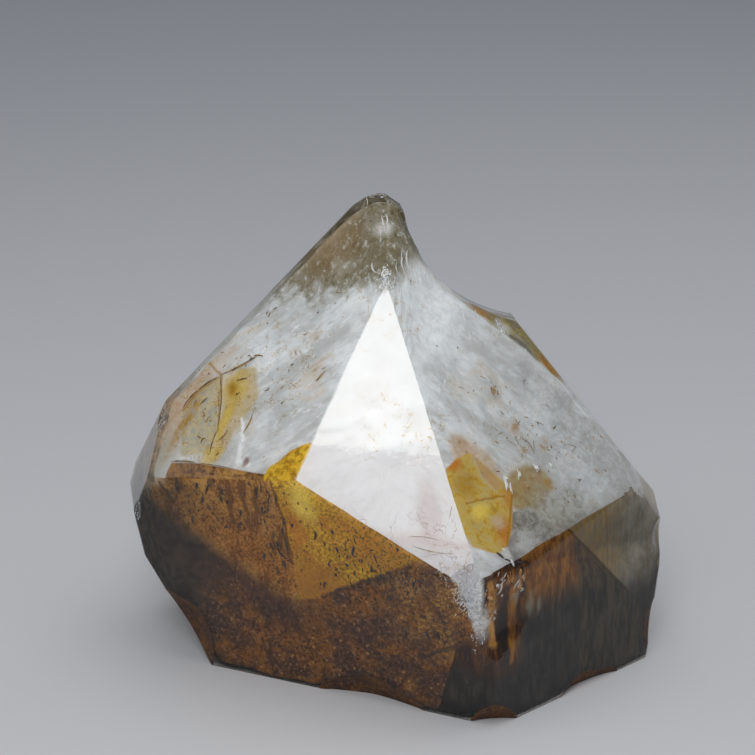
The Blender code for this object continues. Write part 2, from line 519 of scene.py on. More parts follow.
def read(items, name, size=3, kind=float):
    """What the items of a mesh hold under this name, in rows of three numbers."""
    values = np.empty(len(items) * size, dtype=kind)
    items.foreach_get(name, values)
    return values.reshape(-1, 3)


def show(obj):
    """Put an object in the scene."""
    bpy.context.scene.collection.objects.link(obj)
    return obj


def mesh_object(name, points, faces):
    """A smooth mesh object from arrays, its points in millimetres."""
    mesh = bpy.data.meshes.new(name)
    mesh.from_pydata(np.asarray(points).reshape(-1, 3) * MM, [], faces)
    mesh.shade_smooth()
    return show(bpy.data.objects.new(name, mesh))


def grid_faces(rows, columns):
    """Quads between the rows of a grid whose columns close on themselves."""
    index = np.arange(rows * columns).reshape(rows, columns)
    following = np.roll(index, -1, axis=1)
    quads = np.stack((index[:-1], following[:-1], following[1:], index[1:]), axis=-1)
    return quads.reshape(-1, 4)


def pole_faces(ring, pole, upward):
    """Triangles from a ring of points to its pole."""
    following = np.roll(ring, -1)
    middle = np.full_like(ring, pole)
    order = (ring, following, middle) if upward else (following, ring, middle)
    return np.stack(order, axis=-1)


def milky_heart():
    """The milky body: a closed grid in longitude and latitude round the centre."""
    grid = round_grid(HEART_COLUMNS, HEART_ROWS)
    rows, columns, _ = grid.shape
    poles = heart_points(np.array(((0.0, 0.0, -1.0), (0.0, 0.0, 1.0))))
    points = np.concatenate((heart_points(grid).reshape(-1, 3), poles))
    count = rows * columns
    faces = [*grid_faces(rows, columns).tolist(),
             *pole_faces(np.arange(columns), count, False).tolist(),
             *pole_faces(np.arange(count - columns, count), count + 1, True).tolist()]
    heart = mesh_object("milky_heart", points, faces)
    part_finishes(heart.data, grid_faces(rows, columns))
    return heart


def nearest_face(points):
    """Which face each point belongs to: the one whose milk plane is nearest above it."""
    depths = [distance - sunk - (points - CENTRE) @ facing(azimuth, slope)
              for azimuth, slope, distance, sunk in FACES.values()]
    return np.argmin(depths, axis=0)


def part_finishes(mesh, quads):
    """Cut the heart's quads where two finishes meet, along the plane on which the two faces
    above are equally near, and give each polygon the finish of its own face."""
    names = list(FACES)
    finish = np.array([FINISHES.index(FINISH_OF.get(name, "flank")) for name in names])
    face = nearest_face(read(mesh.vertices, "co") / MM)[quads]
    low, high = face.min(axis=1), face.max(axis=1)
    crossed = np.flatnonzero(finish[low] != finish[high])
    pairs = np.stack((low[crossed], high[crossed]), axis=-1)
    bm = bmesh.new()
    bm.from_mesh(mesh)
    bm.faces.ensure_lookup_table()
    on_border = [bm.faces[index] for index in crossed.tolist()]
    for first, second in np.unique(pairs, axis=0):
        held = np.flatnonzero((pairs == (first, second)).all(axis=1))
        cut_along(bm, [on_border[index] for index in held], names[first], names[second])
    bm.to_mesh(mesh)
    bm.free()
    chosen = finish[nearest_face(read(mesh.polygons, "center") / MM)]
    mesh.polygons.foreach_set("material_index", chosen.astype(np.int32))
    mesh.update()


def cut_along(bm, faces, first, second):
    """Cut these faces on the plane where both crystal faces are equally near."""
    normal = facing(*FACES[first][:2]) - facing(*FACES[second][:2])
    near = [distance - sunk for _, _, distance, sunk in (FACES[first], FACES[second])]
    point = CENTRE + normal * (near[0] - near[1]) / (normal @ normal)
    geometry = dict.fromkeys(faces)
    geometry.update(dict.fromkeys(edge for item in faces for edge in item.edges))
    geometry.update(dict.fromkeys(vertex for item in faces for vertex in item.verts))
    bmesh.ops.bisect_plane(bm, geom=list(geometry), dist=CUT_WITHIN,
                           plane_co=Vector(point) * MM, plane_no=Vector(normal))


SLIVER_SIDES = 6
SLIVER_TAPER = 0.6              # lower makes the ends blunter
SLIVER_SPREAD = (0.7, 1.2)      # how uneven a sliver is


def slivers(name, spine, side, width, thickness, seed):
    """Many slender slivers as one mesh. Each follows its spine of m points; at the share t of
    its length its half width is width * sin(pi t) ** SLIVER_TAPER, a little uneven, its thickness
    follows the same rule, and its section is an ellipse. The two ends are points."""
    rng = np.random.default_rng(seed)
    count, steps, _ = spine.shape
    run = spine[:, -1] - spine[:, 0]
    out = np.cross(run, side)
    out /= np.linalg.norm(out, axis=-1, keepdims=True)
    share = np.linspace(0.0, 1.0, steps)[1:-1]
    uneven = rng.uniform(*SLIVER_SPREAD, (count, steps - 2))
    swell = np.sin(pi * share) ** SLIVER_TAPER * uneven
    angle = np.arange(SLIVER_SIDES) * 2.0 * pi / SLIVER_SIDES
    across_it = (width[:, None] * swell)[..., None] * np.cos(angle)
    through = (thickness * swell)[..., None] * np.sin(angle)
    rings = (spine[:, 1:-1, None] + across_it[..., None] * side[:, None, None]
             + through[..., None] * out[:, None, None])
    points = np.concatenate((rings.reshape(count, -1, 3), spine[:, :1], spine[:, -1:]), axis=1)
    ring_points = (steps - 2) * SLIVER_SIDES
    last = np.arange(ring_points - SLIVER_SIDES, ring_points)
    quads = grid_faces(steps - 2, SLIVER_SIDES)
    ends = np.concatenate((pole_faces(np.arange(SLIVER_SIDES), ring_points, False),
                           pole_faces(last, ring_points + 1, True)))
    start = np.arange(count)[:, None, None] * (ring_points + 2)
    faces = [*(quads + start).reshape(-1, 4).tolist(), *(ends + start).reshape(-1, 3).tolist()]
    return mesh_object(name, points, faces)


# The ways to lay out slivers. Lengths are in millimetres.
SPINE_STEPS = 5                 # points along a short sliver
CRACK_STEPS = 9                 # and along a crack
STREWN_THICKNESS = 0.10
FROST_THICKNESS = 0.05
CRACK_THICKNESS = 0.06
STREWN_SHORTEST = 0.5           # the shortest share of its drawn length that one may have
FROST_SHORTEST = 0.4
STREWN_MARGIN = 0.15            # how far beneath the skin each must stay
FROST_MARGIN = 0.12
CRACK_MARGIN = 0.12
FROST_DEPTH = (0.2, 0.8)
BOW_MIDDLE = 0.08               # keeps a bowed sliver's mean where its line was


def under_skin(points, margin):
    """Which points lie deeper than the margin beneath every face and fracture of the skin."""
    held = np.ones(points.shape[:-1], dtype=bool)
    for azimuth, slope, distance, sunk in FACES.values():
        if sunk > 0.0:
            held &= (points - CENTRE) @ facing(azimuth, slope) < distance - margin
    for fracture in FRACTURES.values():
        away = np.linalg.norm(points - fracture_middle(fracture), axis=-1)
        held &= away > fracture[2] + margin
    unit = (points - NOTCH_CENTRE) @ notch_frame(margin)
    return held & ((unit * unit).sum(axis=-1) > 1.0)


def flat_lines(rng, clusters, length, shortest, lean):
    """Short straight lines of points, strewn over a plane. Each cluster gives its middle, its
    spread and its number; `lean` is the mean angle to the slope and its scatter, in degrees.
    Also: what lies aside of each line, its length, and the share along it."""
    middles = np.concatenate([rng.normal(size=(number, 2)) * spread + middle
                              for middle, spread, number in clusters])
    count = len(middles)
    angle = np.radians(90.0 - rng.normal(*lean, count))
    along = np.stack((np.cos(angle), np.sin(angle)), axis=-1)
    aside = np.stack((-along[:, 1], along[:, 0]), axis=-1)
    long = (rng.uniform(*length, count) * rng.uniform(shortest, 1.0, count))[:, None]
    share = np.linspace(-0.5, 0.5, SPINE_STEPS)
    return middles[:, None] + along[:, None] * (share * long)[..., None], aside, long, share


def beneath(face, flat, aside, sunk, margin):
    """Spines and sides of slivers from lines on a face, sunk into the stone. The lines that
    would come within a margin of the skin are left out."""
    azimuth, slope, distance, _ = FACES[face]
    level, slope_up, out = face_axes(azimuth, slope)
    spine = (CENTRE + out * distance + flat[..., :1] * level + flat[..., 1:] * slope_up
             - sunk * out)
    held = under_skin(spine, margin).all(axis=1)
    return spine[held], (aside[:, :1] * level + aside[:, 1:] * slope_up)[held]


def strewn(name, face, length, width, lean, depth, seed, bend, *clusters):
    """Bowed slivers strewn beneath a face: each line is pushed aside by a parabola."""
    rng = np.random.default_rng(seed)
    flat, aside, long, share = flat_lines(rng, clusters, length, STREWN_SHORTEST, lean)
    bow = rng.normal(0.0, bend, len(flat))[:, None] * (share ** 2 - BOW_MIDDLE) * 4.0
    flat = flat + aside[:, None] * (bow * long)[..., None]
    sunk = rng.uniform(*depth, len(flat))[:, None, None]
    spine, side = beneath(face, flat, aside, sunk, STREWN_MARGIN)
    wide = rng.uniform(*width, len(spine))
    return slivers(name, spine, side, wide, STREWN_THICKNESS, seed)


def frosted(name, fracture, length, width, lean, seed, *clusters):
    """Bright slivers strewn beneath a fracture, placed from where it was struck. Each lies on
    the ball that took the fracture, grown by a small depth."""
    rng = np.random.default_rng(seed)
    _, (azimuth, slope), radius, _ = FRACTURES[fracture]
    level, slope_up, out = face_axes(azimuth, slope)
    flat, aside, _, _ = flat_lines(rng, clusters, length, FROST_SHORTEST, lean)
    toward = flat[..., :1] * level + flat[..., 1:] * slope_up - out * radius
    toward /= np.linalg.norm(toward, axis=-1, keepdims=True)
    sunk = rng.uniform(*FROST_DEPTH, len(flat))[:, None, None]
    spine = fracture_middle(FRACTURES[fracture]) + toward * (radius + sunk)
    side = aside[:, :1] * level + aside[:, 1:] * slope_up
    held = under_skin(spine, FROST_MARGIN).all(axis=1)
    wide = rng.uniform(*width, held.sum())
    return slivers(name, spine[held], side[held], wide, FROST_THICKNESS, seed)


def cracks(name, face, width, depth, seed, *rows):
    """Slivers of healed or stained crack beneath a face. Each row gives both ends and how far
    the crack bows: 4 t (1 - t) times that, at the share t of its length."""
    rows = np.array(rows)
    start, end, bow = rows[:, :2], rows[:, 2:4], rows[:, 4]
    share = np.linspace(0.0, 1.0, CRACK_STEPS)
    run = end - start
    aside = np.stack((-run[:, 1], run[:, 0]), axis=-1)
    aside /= np.linalg.norm(aside, axis=-1, keepdims=True)
    rise = (4.0 * share * (1.0 - share))[None, :, None] * bow[:, None, None]
    flat = start[:, None] + run[:, None] * share[None, :, None] + aside[:, None] * rise
    spine, side = beneath(face, flat, aside, depth, CRACK_MARGIN)
    wide = np.random.default_rng(seed).uniform(*width, len(spine))
    return slivers(name, spine, side, wide, CRACK_THICKNESS, seed)


MERGE_WITHIN = 1e-6     # metres


def crystal_skin():
    """The solid's own surface as one merged mesh, with its flats kept flat."""
    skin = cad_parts["quartz_crystal"].copy()
    skin.data = skin.data.copy()
    skin.name = skin.data.name = "crystal_skin"
    skin.parent = None
    show(skin)
    bm = bmesh.new()
    bm.from_mesh(skin.data)
    bmesh.ops.remove_doubles(bm, verts=bm.verts, dist=MERGE_WITHIN)
    bm.to_mesh(skin.data)
    bm.free()
    skin.data.materials.clear()
    skin.data.shade_smooth()
    bare = bare_faces(skin.data)
    skin.data.polygons.foreach_set("material_index", bare.astype(np.int32))
    flats = skin.modifiers.new("flats", "WEIGHTED_NORMAL")
    flats.keep_sharp = True
    flats.weight = 100
    return skin


BARE_REACH = 9.0        # how far past a fracture's rim its raw stone is looked for
BARE_OFF = 0.9          # and how far off its ball


def on_fracture(points, fracture):
    """Which points lie on a fracture's ball, close to where it was struck."""
    struck, _, radius, depth = fracture
    off = np.abs(np.linalg.norm(points - fracture_middle(fracture), axis=-1) - radius)
    reach = sqrt(2.0 * radius * depth) + BARE_REACH
    return (off < BARE_OFF) & (np.linalg.norm(points - np.array(struck), axis=-1) < reach)


def bare_faces(mesh):
    """Which of the skin's triangles are raw broken stone: all three corners and the middle
    lie on one of the bare fractures."""
    points = read(mesh.vertices, "co") / MM
    corners = read(mesh.loops, "vertex_index", 1, np.int32)
    middles = points[corners].mean(axis=1)
    bare = np.zeros(len(corners), dtype=bool)
    for name in BARE:
        held = on_fracture(points, FRACTURES[name])
        bare |= held[corners].all(axis=1) & on_fracture(middles, FRACTURES[name])
    return bare


# ---------------------------------------------------------------- slivers
# Slivers strewn beneath a face. Each piece: its mineral, the face, length, width, lean,
# depth, seed and bend, and then its clusters: middle, spread and number.
STREWN_IRON = {
    # Black iron oxide: fine grains and a few large crystals.
    "fine_flecks": ("black_iron", "prism_left", (0.6, 1.8), (0.14, 0.30), (-8, 28),
                    (0.3, 0.9), 5, 0.15,
                    ((-38, -6), (10, 5), 60), ((-18, -12), (4, 9), 60),
                    ((6, -16), (9, 7), 90), ((18, -24), (10, 6), 80),
                    ((24, -36), (9, 8), 60)),
    "large_flecks": ("black_iron", "prism_left", (1.4, 4.4), (0.20, 0.48), (-6, 14),
                     (0.3, 0.8), 6, 0.15,
                     ((-36.3, -2), (0.5, 1.5), 3), ((-48, -1.5), (1, 3), 4),
                     ((-4.8, -26.9), (0.4, 0.4), 1), ((0.3, -15.6), (0.2, 0.6), 1),
                     ((-0.5, -30), (0.2, 1), 2), ((-17.6, -17), (2.6, 2.2), 5),
                     ((26.9, -35.1), (2.2, 1.2), 4), ((24, -20.6), (3.5, 2), 4),
                     ((-30, -6), (9, 5), 14), ((-18.5, -8), (2.4, 6), 10),
                     ((2, -12), (8, 6), 16), ((14, -20), (6, 4), 10)),
    # Golden brown iron beneath the two upper faces.
    "left_specks": ("brown_iron", "point_left", (0.6, 2.6), (0.08, 0.24), (35, 40),
                    (0.3, 1), 7, 0.3,
                    ((-18, 2), (10, 9), 16), ((-12, 24), (4, 4), 5),
                    ((-38, -12), (5, 8), 24), ((-31.5, 3), (2.5, 1.5), 6),
                    ((-8.4, 3), (0.6, 1.2), 3), ((-30.5, 18), (1.2, 3), 4)),
    "right_specks": ("brown_iron", "point_right", (0.6, 2.4), (0.08, 0.22), (-15, 45),
                     (0.3, 1), 8, 0.3,
                     ((20, -12), (7, 8), 20), ((18.4, -15), (1.2, 4), 12),
                     ((15, -1), (0.8, 1.4), 6), ((34, -16), (8, 9), 14),
                     ((8, 14), (6, 10), 5), ((22, -30), (6, 4), 10),
                     ((27, -20.5), (1.2, 1.2), 6)),
    # Upright slivers in the clear lower corner, painted highlights: white for its white glints
    # and amber for its orange ones.
    "amber_glints": ("amber_glint", "clear_corner", (2.5, 9), (0.20, 0.60), (4, 7),
                     (-3.2, -0.4), 9, 0.15,
                     ((-13.9, -17.5), (0.7, 4), 24), ((-6.2, -17), (0.7, 3.5), 10),
                     ((-5.2, -11.5), (1.2, 2.4), 14), ((-9.2, -9), (1.6, 2.6), 8)),
    "white_glints": ("bright_crack", "clear_corner", (1.2, 5), (0.14, 0.42), (8, 12),
                     (-3.2, -0.4), 10, 0.15,
                     ((-5, -11), (1.3, 2.4), 12), ((0.6, -16.5), (2.4, 1.8), 12),
                     ((-12.5, -18.5), (0.5, 2.2), 18), ((-11.6, -9.5), (0.8, 2), 8)),
}
# Crazed quartz beneath a bruise, its white partly painted sparkle. Each piece: its mineral, the
# fracture, length, width, lean and seed, and then its cluster.
FROST = {
    "foot_frost": ("bright_crack", "window_foot", (0.3, 1), (0.06, 0.17), (10, 50), 31,
                   ((-1.8, 0), (1.6, 3), 560)),
    "corner_frost": ("bright_crack", "prism_corner", (0.5, 2.6), (0.06, 0.18), (5, 16), 32,
                     ((-5, 1), (1, 5.5), 50)),
    "tip_frost": ("bright_crack", "window_top", (0.5, 2.4), (0.06, 0.22), (0, 35), 33,
                  ((0, 0), (1.2, 2.4), 80)),
    "bevel_frost": ("bright_crack", "left_bevel", (0.4, 1.6), (0.08, 0.24), (0, 60), 34,
                    ((0, 0), (2.5, 2.5), 60)),
    "side_frost": ("bright_crack", "left_corner", (0.4, 1.6), (0.08, 0.24), (0, 60), 35,
                   ((0, 0), (3, 3), 50)),
}
# Crazed quartz strewn beneath the bud's edge, the chipped edge and the tip's rim, its white
# partly painted sparkle, and fine pale scratches beside the window. Each piece is given as the
# strewn iron is.
STREWN_WHITE = {
    "bud_frost": ("bright_crack", "point_right", (0.8, 3.4), (0.08, 0.26), (-4, 16),
                  (1.9, 2.6), 36, 0.15,
                  ((25, 17.4), (0.5, 1.9), 16), ((25.8, 14.6), (0.5, 0.7), 5)),
    "bud_tail_frost": ("bright_crack", "point_right", (0.5, 1.2), (0.10, 0.24), (30, 30),
                       (0.3, 0.8), 40, 0.15, ((30.2, 7.8), (0.7, 0.7), 5)),
    "edge_frost": ("bright_crack", "prism_left", (0.3, 1), (0.06, 0.18), (10, 50),
                   (0.2, 0.8), 37, 0.15,
                   ((34.4, -15.6), (2, 1.6), 150), ((37.6, -20.6), (1.1, 2.4), 260),
                   ((39.9, -28), (0.5, 3.6), 120)),
    "rim_frost": ("bright_crack", "worn_tip", (0.6, 2.4), (0.06, 0.16), (0, 60),
                  (0.15, 0.6), 39, 0.15, ((-11.7, 13.5), (4.5, 3.5), 160)),
    "pale_scratches": ("bright_crack", "point_right", (1.5, 5), (0.05, 0.11), (8, 16),
                       (0.3, 0.9), 38, 0.15,
                       ((1, 18), (3, 9), 34), ((-4, 4), (3, 7), 16),
                       ((14, 18), (5, 5), 16)),
}
# Cracks, healed white, with the white partly painted sparkle, or stained with iron. Each
# piece: its mineral, the face, width, depth and seed, and then its rows: both ends on the face
# and how far the crack bows.
CRACKS = {
    "tip_cracks_left": ("bright_crack", "point_left", (0.10, 0.30), 0.8, 11,
        (-19, 53.2, -15.2, 56, 0.2), (-15.6, 55.8, -11.4, 57.2, 0.2),
        (-12, 56.9, -7.8, 57.8, 0.1), (-14, 56.2, -12.6, 53.6, 0.3),
        (-6.2, 52.4, -4.6, 48.8, 0.4), (-5.6, 50.4, -3, 49, 0.3),
        (-7.3, 51.7, -5.2, 47.6, 0.3), (-5.4, 50.4, -3.8, 46.4, -0.3),
        (-4.2, 48, -1.7, 46, 0.3), (-6.2, 47.8, -4.6, 44.2, 0.2),
        (-1.6, 45.9, 0.6, 45.6, 0.1), (-4.9, 37.9, -2.3, 35, -0.7),
        (-1.8, 43.2, 0.4, 40.8, 0.4), (-0.6, 36.4, 0.6, 32.4, 0.2), (1, 36, 2.6, 33, -0.2),
        (-1, 34.8, 2.2, 34.4, 0.2)),
    "tip_cracks_right": ("bright_crack", "point_right", (0.10, 0.26), 0.8, 12,
        (3.1, 44.9, 0.9, 34, -1.3), (4.2, 43.6, 2.6, 36.6, -0.9),
        (-0.6, 40.6, -1.4, 36.8, -0.5), (3.4, 39.7, 2.9, 33.3, -0.6),
        (6.2, 38.4, 4.9, 31.4, -0.7), (7.6, 37.4, 6, 33.6, -0.4), (1.8, 41.6, 0.4, 38.8, -0.3),
        (3, 38.4, 3.2, 34, 0.4), (4.6, 37.6, 4.2, 32.6, 0.4), (6.4, 36.8, 7.4, 31.6, 0.3),
        (8.2, 35.6, 8.8, 31, 0.3)),
    # Painted highlights: white flakes on small healed cracks where the right face sparkles.
    "right_cracks": ("bright_crack", "point_right", (0.16, 0.40), 0.9, 13,
        (9.3, -23.8, 8.4, -28.6, 0.2), (9.7, -24, 9.5, -27.8, -0.2),
        (10.6, -26.2, 10.1, -29.6, -0.3), (9, -24.4, 10.6, -25.6, 0.2),
        (14.1, -23.2, 13.3, -26.4, 0.2), (14.5, -23.8, 14.2, -25.6, 0.1),
        (19.2, -22.8, 20.8, -25.2, 0.3), (19.8, -24.8, 21.2, -23.6, 0.2),
        (19.4, -23.4, 20.2, -25.6, 0.2), (2.2, -46.2, 2.8, -48.6, 0.2),
        (1, -42.8, 1.8, -44, 0.1), (24.4, -23.8, 25.2, -25.4, 0.2)),
    "right_iron": ("brown_iron", "point_right", (0.05, 0.13), 0.8, 18,
        (10.4, -10, 12.2, -12, 0.2), (11.4, -13, 13.6, -12.6, 0.2),
        (13.6, -14.6, 16.4, -17.6, 0.3), (16.6, -14.4, 18.4, -18, -0.3),
        (19.8, -15.6, 21, -20.6, 0.4), (22.4, -16.4, 21.6, -19.8, -0.2),
        (24.4, -11.6, 27.4, -13.6, 0.3), (31.6, -20, 35.4, -21.6, 0.3),
        (33, -22.6, 35, -21.2, 0.2), (28.6, -7.2, 31.8, -9.4, 0.2),
        (4.6, 2.6, 6.6, 1.4, 0.2), (12.4, 4.2, 14.4, 2.8, 0.2)),
    "flame_cracks": ("brown_iron", "point_left", (0.12, 0.30), 0.9, 14,
        (-46.6, 1.5, -39.5, -2.4, 0.4), (-39.5, -2.4, -29.2, 6.3, -0.6),
        (-39.5, -2.4, -34.2, -17.5, 0.8), (-47.5, -14, -44.5, -7.8, 0.5),
        (-44.5, -7.8, -40.1, -3.3, 0.3), (-30.7, -17, -32.6, -20.6, 0.3),
        (-34, -17.5, -33.6, -25, -0.4), (-24.9, -10.8, -25.8, -17, 0.4),
        (-31.2, 5, -28, 5.4, 0.2), (-33.4, -3, -30.4, -1.6, 0.2),
        (-42.4, -12, -40.8, -9.4, 0.1), (-45.4, -29.6, -37, -28.1, 0.3),
        (-37, -28.1, -22.8, -27.2, 0.2), (-8.8, 1.6, -7.2, 5.2, 0.3)),
    "window_cracks": ("brown_iron", "window", (0.06, 0.13), 0.8, 15,
        (5.9, -33, 14.7, -33.8, 0.6), (14.7, -33.8, 24, -33, -0.5),
        (6.7, -35, 16, -37, -0.4), (17, -28, 17.6, -24, 0.1),
        (10, -38.2, 19, -37, 0.4), (2, -36.4, 9, -36.8, 0.2)),
    "front_cracks": ("black_iron", "prism_left", (0.10, 0.26), 0.8, 16,
        (-19.6, 6, -15.4, -9, 0.8), (-15.4, -9, -13.8, -20, -0.6),
        (43, -33, 35.4, -38.9, 0.6), (35.4, -38.9, 24, -44, -0.8),
        (-49.5, 2, -48, -1, 0.3), (-48, -1, -47, -5.6, 0.3),
        (-53.6, -3.8, -51.2, -6, 0.2), (-51.2, -6, -49.6, -9, 0.3),
        (28, -12.6, 38, -20, -0.5), (30, -40, 37, -30, 0.6)),
    "arris_cracks": ("black_iron", "point_right", (0.25, 0.45), 0.9, 17,
        (-1.1, -43.6, 0.6, -45.8, 0.2), (0.6, -45.8, 2.9, -47.6, 0.2),
        (2.9, -47.6, 6.4, -48.4, 0.3)),
}


# ---------------------------------------------------------------- finishes
QUARTZ_IOR = 1.544
SMOKE_TINT = (0.80, 0.70, 0.52)
SMOKE_DENSITY = 34.0            # per metre
OPEN_TINT = (0.93, 0.93, 0.93)  # what lamps see of the skin
SKIN_BUMP = (0.25, 0.0005)      # strength, and distance in metres
STONE_BUMP = (0.7, 0.0008)
GROWTH_NONE = 66                # growth lines start to show below this height
GROWTH_FULL = 48                # and show fully below this one
GROWTH_HEIGHT = 0.10
PEEL_HEIGHT = 0.012
PLANE_FADE = (0.5, 0.2)         # how far beneath a flat its mask starts and ends

# Inks: red, green and blue, linear.
CLEAR = (1.0, 1.0, 1.0)
FILM_GREY = (0.90, 0.885, 0.85)
FILM_RUST = (0.55, 0.33, 0.10)
FILM_GRIT = (0.50, 0.34, 0.18)
FILM_IRON = (0.05, 0.035, 0.03)
MILK = (0.74, 0.785, 0.83)
MILK_BRIGHT = (0.90, 0.935, 0.97)
MILK_GREY = (0.52, 0.545, 0.555)
SHADE = (0.30, 0.31, 0.30)
MILK_WARM = (0.56, 0.46, 0.34)
ROSE = (0.62, 0.50, 0.48)
# WINDOW_MILK is in part painted light; WINDOW_SHADE is painted shade on the window's lower part
# and a greyer tone at its foot.
WINDOW_MILK = (0.93, 0.945, 0.96)
WINDOW_SHADE = (0.62, 0.61, 0.65)
HAZE = (0.50, 0.32, 0.17)
GOLD = (0.78, 0.50, 0.03)
GOLD_BRIGHT = (0.90, 0.72, 0.12)
GOLD_PALE = (0.54, 0.44, 0.17)
GOLD_SOFT = (0.60, 0.41, 0.06)
GOLD_FLAME = (0.66, 0.50, 0.07)
GOLD_DEEP = (0.38, 0.20, 0.008)
ORANGE = (0.55, 0.20, 0.02)
TAN = (0.44, 0.19, 0.022)
TAN_PALE = (0.62, 0.35, 0.09)
CORNER_BROWN = (0.40, 0.17, 0.012)
TAN_DEEP = (0.16, 0.055, 0.006)
BAND = (0.33, 0.15, 0.018)
BAND_DEEP = (0.09, 0.030, 0.003)
RUST = (0.29, 0.11, 0.015)
RUST_PALE = (0.46, 0.27, 0.12)
MAUVE = (0.095, 0.040, 0.025)
UMBER = (0.035, 0.015, 0.006)
SMOKE = (0.012, 0.010, 0.008)
SMOKE_PALE = (0.055, 0.045, 0.035)
OLIVE = (0.20, 0.17, 0.095)
OLIVE_GOLD = (0.38, 0.30, 0.07)
OLIVE_DARK = (0.085, 0.068, 0.035)
OLIVE_PALE = (0.33, 0.32, 0.26)
PANE_PALE = (0.38, 0.38, 0.36)
PANE_TAN = (0.38, 0.25, 0.08)
PANE_OLIVE = (0.25, 0.21, 0.11)
PANE_GREY = (0.20, 0.20, 0.18)

# Soft white clouds and a rusty flank in the smoky tip: the middle and radius of each.
TIP_GLOWS = (((-11.0, -7.0, 112.0), 3.2), ((-7.0, -8.0, 110.0), 2.6), ((-17.0, -6.0, 106.0), 3.0),
             ((6.5, -1.0, 112.0), 3.6), ((-3.4, 5.8, 123.0), 1.9))
TIP_RUST = ((-19.0, 10.0, 119.0), 9.0)
TIP_RISE = (-0.20, 0.05, 1.0)   # square to the smoke's lower margin

# The side bud lies in a ball, beyond a plane that looks this way and lies this far out.
BUD = ((32.0, 8.0, 90.0), 17.6)
BUD_FACING = (0.070, 0.998, 0.0)
BUD_DISTANCE = 2.6
# The balls round its two orange ends, its dark line and its pale flash, a painted highlight.
BUD_ENDS = (((22.0, 2.0, 100.5), 4.5), ((43.0, 0.0, 83.0), 5.5))
BUD_LINE = ((34.5, 0.5, 91.0), 5.5)
BUD_FLASH = ((29.2, 2.6, 95.4), 2.4)

# Marks in the right face's gold patch: middle, half sizes, ink and strength.
GOLD_MARKS = (((-4.2, -17.6), (2.2, 1.7), ORANGE, 0.95), ((4.4, -39.5), (3, 4.2), ORANGE, 0.8),
              ((8.6, -31), (1.6, 4), ORANGE, 0.6), ((2.6, -36), (1.8, 1.9), MILK_WARM, 0.8),
              ((-3, -24), (3.4, 3.4), GOLD_DEEP, 0.6), ((-1.4, -32), (2.6, 2), GOLD_BRIGHT, 0.7))
# Brown spots beneath the right face: middle and half sizes.
BROWN_SPOTS = (((15.7, -0.9), (0.9, 1.9)), ((18.4, -12), (1, 1.6)), ((18.4, -19.1), (1.4, 1.1)),
               ((25, -18.6), (1.2, 2.2)), ((39.3, -29.4), (1.6, 0.7)), ((22.2, -29), (2.2, 1.6)))

# Directions in which the milk streams beneath the two upper faces.
STREAM_LEFT = (0.82, 0.0, 0.57)
STREAM_RIGHT = (0.76, -0.08, -0.645)

# Minerals of the slivers: two shades, how fine their cloud is, and roughness.
MINERALS = {
    # White crazed and cracked quartz; its bright white is partly painted sparkle.
    "bright_crack": ((0.70, 0.74, 0.78), (0.95, 0.97, 1.0), 0.9, 0.35),
    "black_iron": ((0.012, 0.009, 0.007), (0.05, 0.028, 0.016), 0.7, 0.45),
    "brown_iron": ((0.10, 0.055, 0.012), (0.34, 0.19, 0.03), 0.5, 0.5),
    "amber_glint": ((0.42, 0.16, 0.03), (0.80, 0.46, 0.12), 0.4, 0.3),
}


class Coat:
    """Stains laid one over another, first to last."""

    def __init__(self, make, colour, mottle=None):
        self.make = make
        self.colour = colour
        self.mottle = mottle

    def lay(self, mask, ink, strength=1.0):
        """Lay an ink where a mask holds, or where every mask of a tuple does. An ink of two
        shades is mixed by the coat's mottle."""
        if isinstance(mask, tuple):
            mask = all_of(self.make, *mask)
        if isinstance(ink, tuple) and len(ink) == 2:
            ink = self.make.tint(self.mottle, *ink)
        if strength != 1.0:
            mask = self.make.maths("MULTIPLY", mask, strength)
        self.colour = self.make.tint(mask, self.colour, ink)


def new_material(name):
    """An empty material: its recipe, and its output node."""
    material = bpy.data.materials.new(name)
    material.use_nodes = True
    material.node_tree.nodes.clear()
    make = Recipe(material.node_tree)
    return material, make, make.add("OutputMaterial")


def opaque(make, output, colour, **inputs):
    """An opaque surface of this colour."""
    body = make.fill(make.add("BsdfPrincipled"), Base_Color=colour, **inputs)
    make.fill(output, Surface=body.outputs[0])


def streamed(make, place, stretch):
    """A place squeezed along the stream, which runs down and away from the tip on each side,
    so that a cloud drawn on it is long that way."""
    side = make.ease(make.part(place, "X"), -5, 5)
    along = make.vector("NORMALIZE", make.tint(side, STREAM_LEFT, STREAM_RIGHT, "VECTOR"))
    run = make.dot(place, along)
    back = make.vector("SCALE", along, make.maths("MULTIPLY", run, 1.0 - 1.0 / stretch))
    return make.vector("SUBTRACT", place, back)


def on_plane(make, place, name):
    """1 on this flat of the skin, 0 elsewhere."""
    azimuth, slope, distance, _ = FACES[name]
    offset = make.vector("SUBTRACT", place, tuple(CENTRE))
    reach = make.dot(offset, tuple(facing(azimuth, slope)))
    return make.ease(reach, *(distance - fade for fade in PLANE_FADE))


